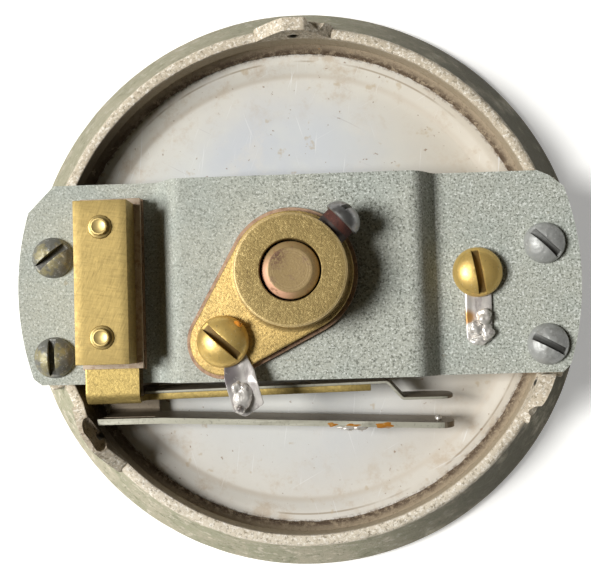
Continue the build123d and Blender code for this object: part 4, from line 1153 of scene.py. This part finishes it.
bar = plate(BAR_X, (-8.92, FLANGE_END_Y), (13.05, 17.85), 0.07, 2.0, 0.03)
piece("clamp_bar_block", bar, BAR_BRASS, "brass_bar", "clamp_bar", sharp=24)
sheet = plate((-26.0, -18.75), (-9.55, 10.6), (12.45, 13.05), 0.1, 4.0, 0.07, 2)
piece("upper_fibre_sheet", sheet, PALE_FIBRE, "fibre_red", "upper_bar_insulator")
sheet = plate((-26.3, -18.75), (-9.7, 10.7), (BRIDGE_TOP_Z, 11.3), 0.1, 7.0, 0.07, 2)
piece("lower_fibre_sheet", sheet, FIBRE, "fibre_red", "lower_bar_insulator")

stakes = []
for x, y in BAR_SCREWS:
    profile = [(0.0, 5.9), (1.85, 5.9), (1.9, 6.0), (1.9, 7.1), (1.0, 7.1), (1.0, 17.8), (1.4, 17.82)]
    profile += [(1.4, 17.95), (1.28, 18.1), (1.1, 18.16), (1.04, 18.2), (1.02, 18.5), (0.94, 18.62)]
    profile += [(0.8, 18.63), (0.66, 18.57), (0.0, 18.56)]
    stakes.append(lathe(profile, 12 if y > 0 else 16, (x, y)))
piece("bar_stakes", join(*stakes), STAKE_BRASS, "brass", "bar_screws", sharp=24)


# ---- contact spring pack


def strip_outline(points, thickness, bend=0.0, steps=6):
    """The outline of a sheet of constant thickness along points, each bend with an inner radius."""
    steps_along = [(Vector(b) - Vector(a)).normalized() for a, b in zip(points, points[1:])]
    sides = ([], [])
    radii = ([], [])
    for index, point in enumerate(points):
        before = steps_along[max(index - 1, 0)]
        after = steps_along[min(index, len(steps_along) - 1)]
        bisector = (before + after).normalized()
        normal = Vector((-bisector.y, bisector.x))
        reach = thickness / 2 / bisector.dot(after)
        turns_left = before.x * after.y - before.y * after.x > 0
        inner = 0 < index < len(points) - 1 and bend > 0
        sides[0].append(tuple(Vector(point) + normal * reach))
        sides[1].append(tuple(Vector(point) - normal * reach))
        radii[0].append((bend if turns_left else bend + thickness) if inner else 0)
        radii[1].append((bend + thickness if turns_left else bend) if inner else 0)
    return rounded(sides[0] + sides[1][::-1], radii[0] + radii[1][::-1], steps)


def pack_point(y, z):
    """The (Y, Z) place of a point of the leaning spring pack."""
    cosine, sine = math.cos(PACK_LEAN), math.sin(PACK_LEAN)
    return (PACK_Y + y * cosine - z * sine, PACK_Z + y * sine + z * cosine)


def bent_sheet(far_y, flange_z, leaf_y, leaf_end, thickness, bend, x_range):
    """A flange at flange_z joined by a bend to a leaf that stands in the spring pack."""
    end_y, end_z = pack_point(leaf_y, leaf_end)
    corner_y = end_y - (flange_z - end_z) * math.tan(PACK_LEAN)
    outline = strip_outline([(far_y, flange_z), (corner_y, flange_z), (end_y, end_z)], thickness, bend, 10)
    bm = prism(outline, *x_range)
    return placed(bm, Matrix(((0, 0, 1, 0), (1, 0, 0, 0), (0, 1, 0, 0), (0, 0, 0, 1))))


def leaf(points, thickness, heights, bend=0.0, spacing=1.2):
    """A leaf on edge in the spring pack, cut across at even spacing."""
    bm = prism(strip_outline(points, thickness, bend), *heights)
    x = points[0][0] + spacing
    while x < points[-1][0]:
        slice_at(bm, (x, 0, 0))
        x += spacing
    return bm


def round_tip(bm, tip_x, radius, heights):
    """Moves the ends of a leaf's edges in, so that its tip is a rounded tongue."""
    low, high = heights
    start = tip_x - radius
    middle = (low + high) / 2
    half = (high - low) / 2
    for step in range(9):
        slice_at(bm, (start + radius * math.sin(math.radians(90 * step / 9)), 0, 0))
    for vert in bm.verts:
        if vert.co.x > start:
            across = math.sqrt(max(0.0, 1 - min(1.0, (vert.co.x - start) / radius) ** 2))
            limit = half - radius + radius * across
            vert.co.z = middle + (vert.co.z - middle) * limit / half
    return bm


def skewed(start_y, x):
    """A point of the arm, or of the spring along it, past the bracket's bend."""
    return (x, start_y + (x - BAR_X[1]) * ARM_SLOPE)


def build_bracket():
    """The bent sheet under the bar, the arm behind the upper spring, and the web between them."""
    bend = bent_sheet(FLANGE_END_Y, 12.025, BRACKET_Y, -3.6, BRACKET_THICKNESS, 0.5, BAR_X)
    soften(bend, 0.09, 2, 50)
    points = [(-20.0, BRACKET_Y), (BAR_X[1], BRACKET_Y), skewed(BRACKET_Y, 7.9)]
    arm = leaf(points, BRACKET_THICKNESS, (-3.4, -0.1), spacing=4.0)
    soften(arm, 0.07, 2, 50)
    corner = prism(rounded([(-19.6, -0.1), (-18.7, -0.1), (-19.6, 0.7)], (0, 0, 0)), 0.05, 0.8)
    placed(corner, Matrix(((1, 0, 0, 0), (0, 0, 1, 0), (0, 1, 0, 0), (0, 0, 0, 1))))
    return join(bend, placed(arm, PACK), placed(corner, PACK))


piece("bracket_sheet", build_bracket(), TAB_BRASS, "brass_bar", "spring_bracket", sharp=30)

foot = bent_sheet(FLANGE_END_Y, 11.45, UPPER_Y, -3.6, UPPER_THICKNESS, 0.25, (BAR_X[0], -19.15))
soften(foot, 0.05, 2, 50)
piece("upper_spring_flange", foot, SPRING_SHADED, "nickel_silver", "upper_spring_root", sharp=30)


def build_upper_leaf():
    """Along the bracket's arm, then joggled towards the lower spring."""
    tip_x, tip_y = UPPER_TIP
    points = [(-25.6, UPPER_Y), (BAR_X[1], UPPER_Y), skewed(UPPER_Y + 0.02, 9.9), (11.7, tip_y), UPPER_TIP]
    bm = leaf(points, UPPER_THICKNESS, UPPER_HEIGHTS, 0.4)
    round_tip(bm, tip_x, 1.5, UPPER_HEIGHTS)
    return placed(soften(bm, 0.05, 2, 50), PACK)


upper_blade = piece("upper_spring_leaf", build_upper_leaf(), SPRING_SHADED, "nickel_silver", "upper_spring_blade",
                    body=None, sharp=30)

foot = bent_sheet(4.8, 4.95, PRESS_Y, -0.4, PRESS_THICKNESS, 0.6, (-24.4, -18.3))
soften(foot, 0.07, 2, 50)
piece("press_spring_foot", foot, SPRING_SHADED, "nickel_silver", "press_spring_root", sharp=30)


def press_y(x):
    """The middle of the lower spring's thickness, splayed out past its hinge."""
    return PRESS_Y - max(0.0, x - PRESS_HINGE_X) * PRESS_SPLAY


def build_press_leaf():
    """Straight to its hinge and splayed past it, with a cut corner at its start."""
    points = [(x, press_y(x)) for x in (PRESS_START_X, PRESS_HINGE_X, PRESS_TIP_X)]
    bm = leaf(points, PRESS_THICKNESS, PRESS_HEIGHTS, 0.0, 1.0)
    round_tip(bm, PRESS_TIP_X, 2.0, PRESS_HEIGHTS)
    corner = 1.2
    for vert in bm.verts:
        if vert.co.x < PRESS_START_X + corner:
            cut = PRESS_START_X + corner * vert.co.z / PRESS_HEIGHTS[0]
            vert.co.x = max(vert.co.x, cut)
    return placed(soften(bm, 0.09, 2, 50), PACK)


press_blade = piece("press_spring_leaf", build_press_leaf(), SPRING_SHADED, "nickel_silver", "press_spring_blade",
                    body=None, sharp=30)


def paint_lit_edges(obj, paint):
    """Gives the faces that look up a second paint, the pale copy that stands for light falling on them."""
    obj.data.materials.append(paint)
    for polygon in obj.data.polygons:
        if polygon.normal.z > 0.9:
            polygon.material_index = 1


for sprung in (upper_blade, press_blade):
    paint_lit_edges(sprung, SPRING_LIT_EDGE)


def bead(x, out, z, size, seed):
    """A lump on the lower spring, a distance out from the middle of its thickness."""
    return placed(blob((0, 0, 0), size, 0.5, seed, 3), PACK @ Matrix.Translation((x, press_y(x) - out, z)))


lump = join(
    bead(5.2, 0.48, 0.0, (0.9, 0.34, 0.45), 2.0),
    bead(6.4, 0.48, -0.05, (1.0, 0.36, 0.5), 5.0),
    bead(4.3, 0.45, -0.1, (0.6, 0.28, 0.45), 7.0),
)
piece("spring_solder_lump", lump, SOLDER, "solder", "spring_solder", body="press_spring", sharp=60)
flux = join(
    bead(9.4, 0.08, 0.33, (1.25, 0.36, 0.13), 4.0),
    bead(3.2, 0.12, 0.34, (0.6, 0.26, 0.12), 9.0),
    bead(5.6, 0.14, 0.34, (1.1, 0.2, 0.1), 6.0),
)
piece("spring_flux", flux, FLUX, "brass", body="press_spring")


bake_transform(upper_blade)
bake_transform(press_blade)


# ---- floor, light and camera


def make_floor():
    """White paper that glows a little, so that it stays white in the shade."""
    mesh = bpy.data.meshes.new("floor")
    bm = bmesh.new()
    bmesh.ops.create_grid(bm, x_segments=1, y_segments=1, size=1.5)
    bm.to_mesh(mesh)
    bm.free()
    floor = bpy.data.objects.new("floor", mesh)
    floor.location.z = -0.0001
    scene.collection.objects.link(floor)
    paper = Paint("paper", (0.93, 0.93, 0.92), 0.9)
    paper.tint(paper.noise(0.3, 4.0), (0.96, 0.96, 0.95), 0.4)
    paper.bsdf.inputs["Emission Color"].default_value = (1.0, 1.0, 1.0, 1.0)
    paper.bsdf.inputs["Emission Strength"].default_value = 0.32
    mesh.materials.append(paper.done())


def make_light(name, azimuth, elevation, distance, size, power, color):
    """A square soft light that faces the object."""
    lamp = bpy.data.lights.new(name, "AREA")
    lamp.size = size
    lamp.energy = power
    lamp.color = color
    around, up = math.radians(azimuth), math.radians(elevation)
    direction = Vector((math.cos(around) * math.cos(up), math.sin(around) * math.cos(up), math.sin(up)))
    obj = bpy.data.objects.new(name, lamp)
    obj.location = direction * distance
    obj.rotation_euler = direction.to_track_quat("Z", "Y").to_euler()
    scene.collection.objects.link(obj)


def make_world():
    """A dim room, brighter overhead and to the left."""
    world = bpy.data.worlds.new("room")
    scene.world = world
    world.use_nodes = True
    tree = world.node_tree
    coords = tree.nodes.new("ShaderNodeTexCoord")
    split = tree.nodes.new("ShaderNodeSeparateXYZ")
    tree.links.new(coords.outputs["Generated"], split.inputs["Vector"])
    total = tree.nodes.new("ShaderNodeMath")
    ramps = (("Z", 0.2, 1.0, 0.005, 0.055), ("X", 0.1, -0.9, 0.0, 0.08))
    for index, (axis, start, end, low, high) in enumerate(ramps):
        ramp = tree.nodes.new("ShaderNodeMapRange")
        for socket, value in zip(("From Min", "From Max", "To Min", "To Max"), (start, end, low, high)):
            ramp.inputs[socket].default_value = value
        tree.links.new(split.outputs[axis], ramp.inputs["Value"])
        tree.links.new(ramp.outputs["Result"], total.inputs[index])
    background = tree.nodes["Background"]
    background.inputs["Color"].default_value = (1.0, 0.89, 0.66, 1.0)
    tree.links.new(total.outputs[0], background.inputs["Strength"])


def make_camera():
    """Looks down on the open back from a little to the lower right of the axis."""
    turn = Matrix.Rotation(math.radians(-1.6), 3, "Z")
    eye = turn @ Vector((4.58, -6.15, 144.0))
    target = turn @ Vector((-0.79, -0.42, 9.0))
    backward = (eye - target).normalized()
    right = (turn @ Vector((0.0, 1.0, 0.0))).cross(backward).normalized()
    upward = backward.cross(right)
    camera = bpy.data.cameras.new("camera")
    camera.lens = 68.2
    camera.sensor_width = 36.0
    camera.clip_start = 0.01
    obj = bpy.data.objects.new("camera", camera)
    obj.matrix_world = Matrix.Translation(eye * MM) @ Matrix((right, upward, backward)).transposed().to_4x4()
    scene.collection.objects.link(obj)
    scene.camera = obj


make_floor()
make_light("key", azimuth=180.0, elevation=51.0, distance=1.5, size=0.5, power=26.9, color=(1.0, 0.99, 0.965))
make_world()
make_camera()
scene.view_settings.view_transform = "Standard"
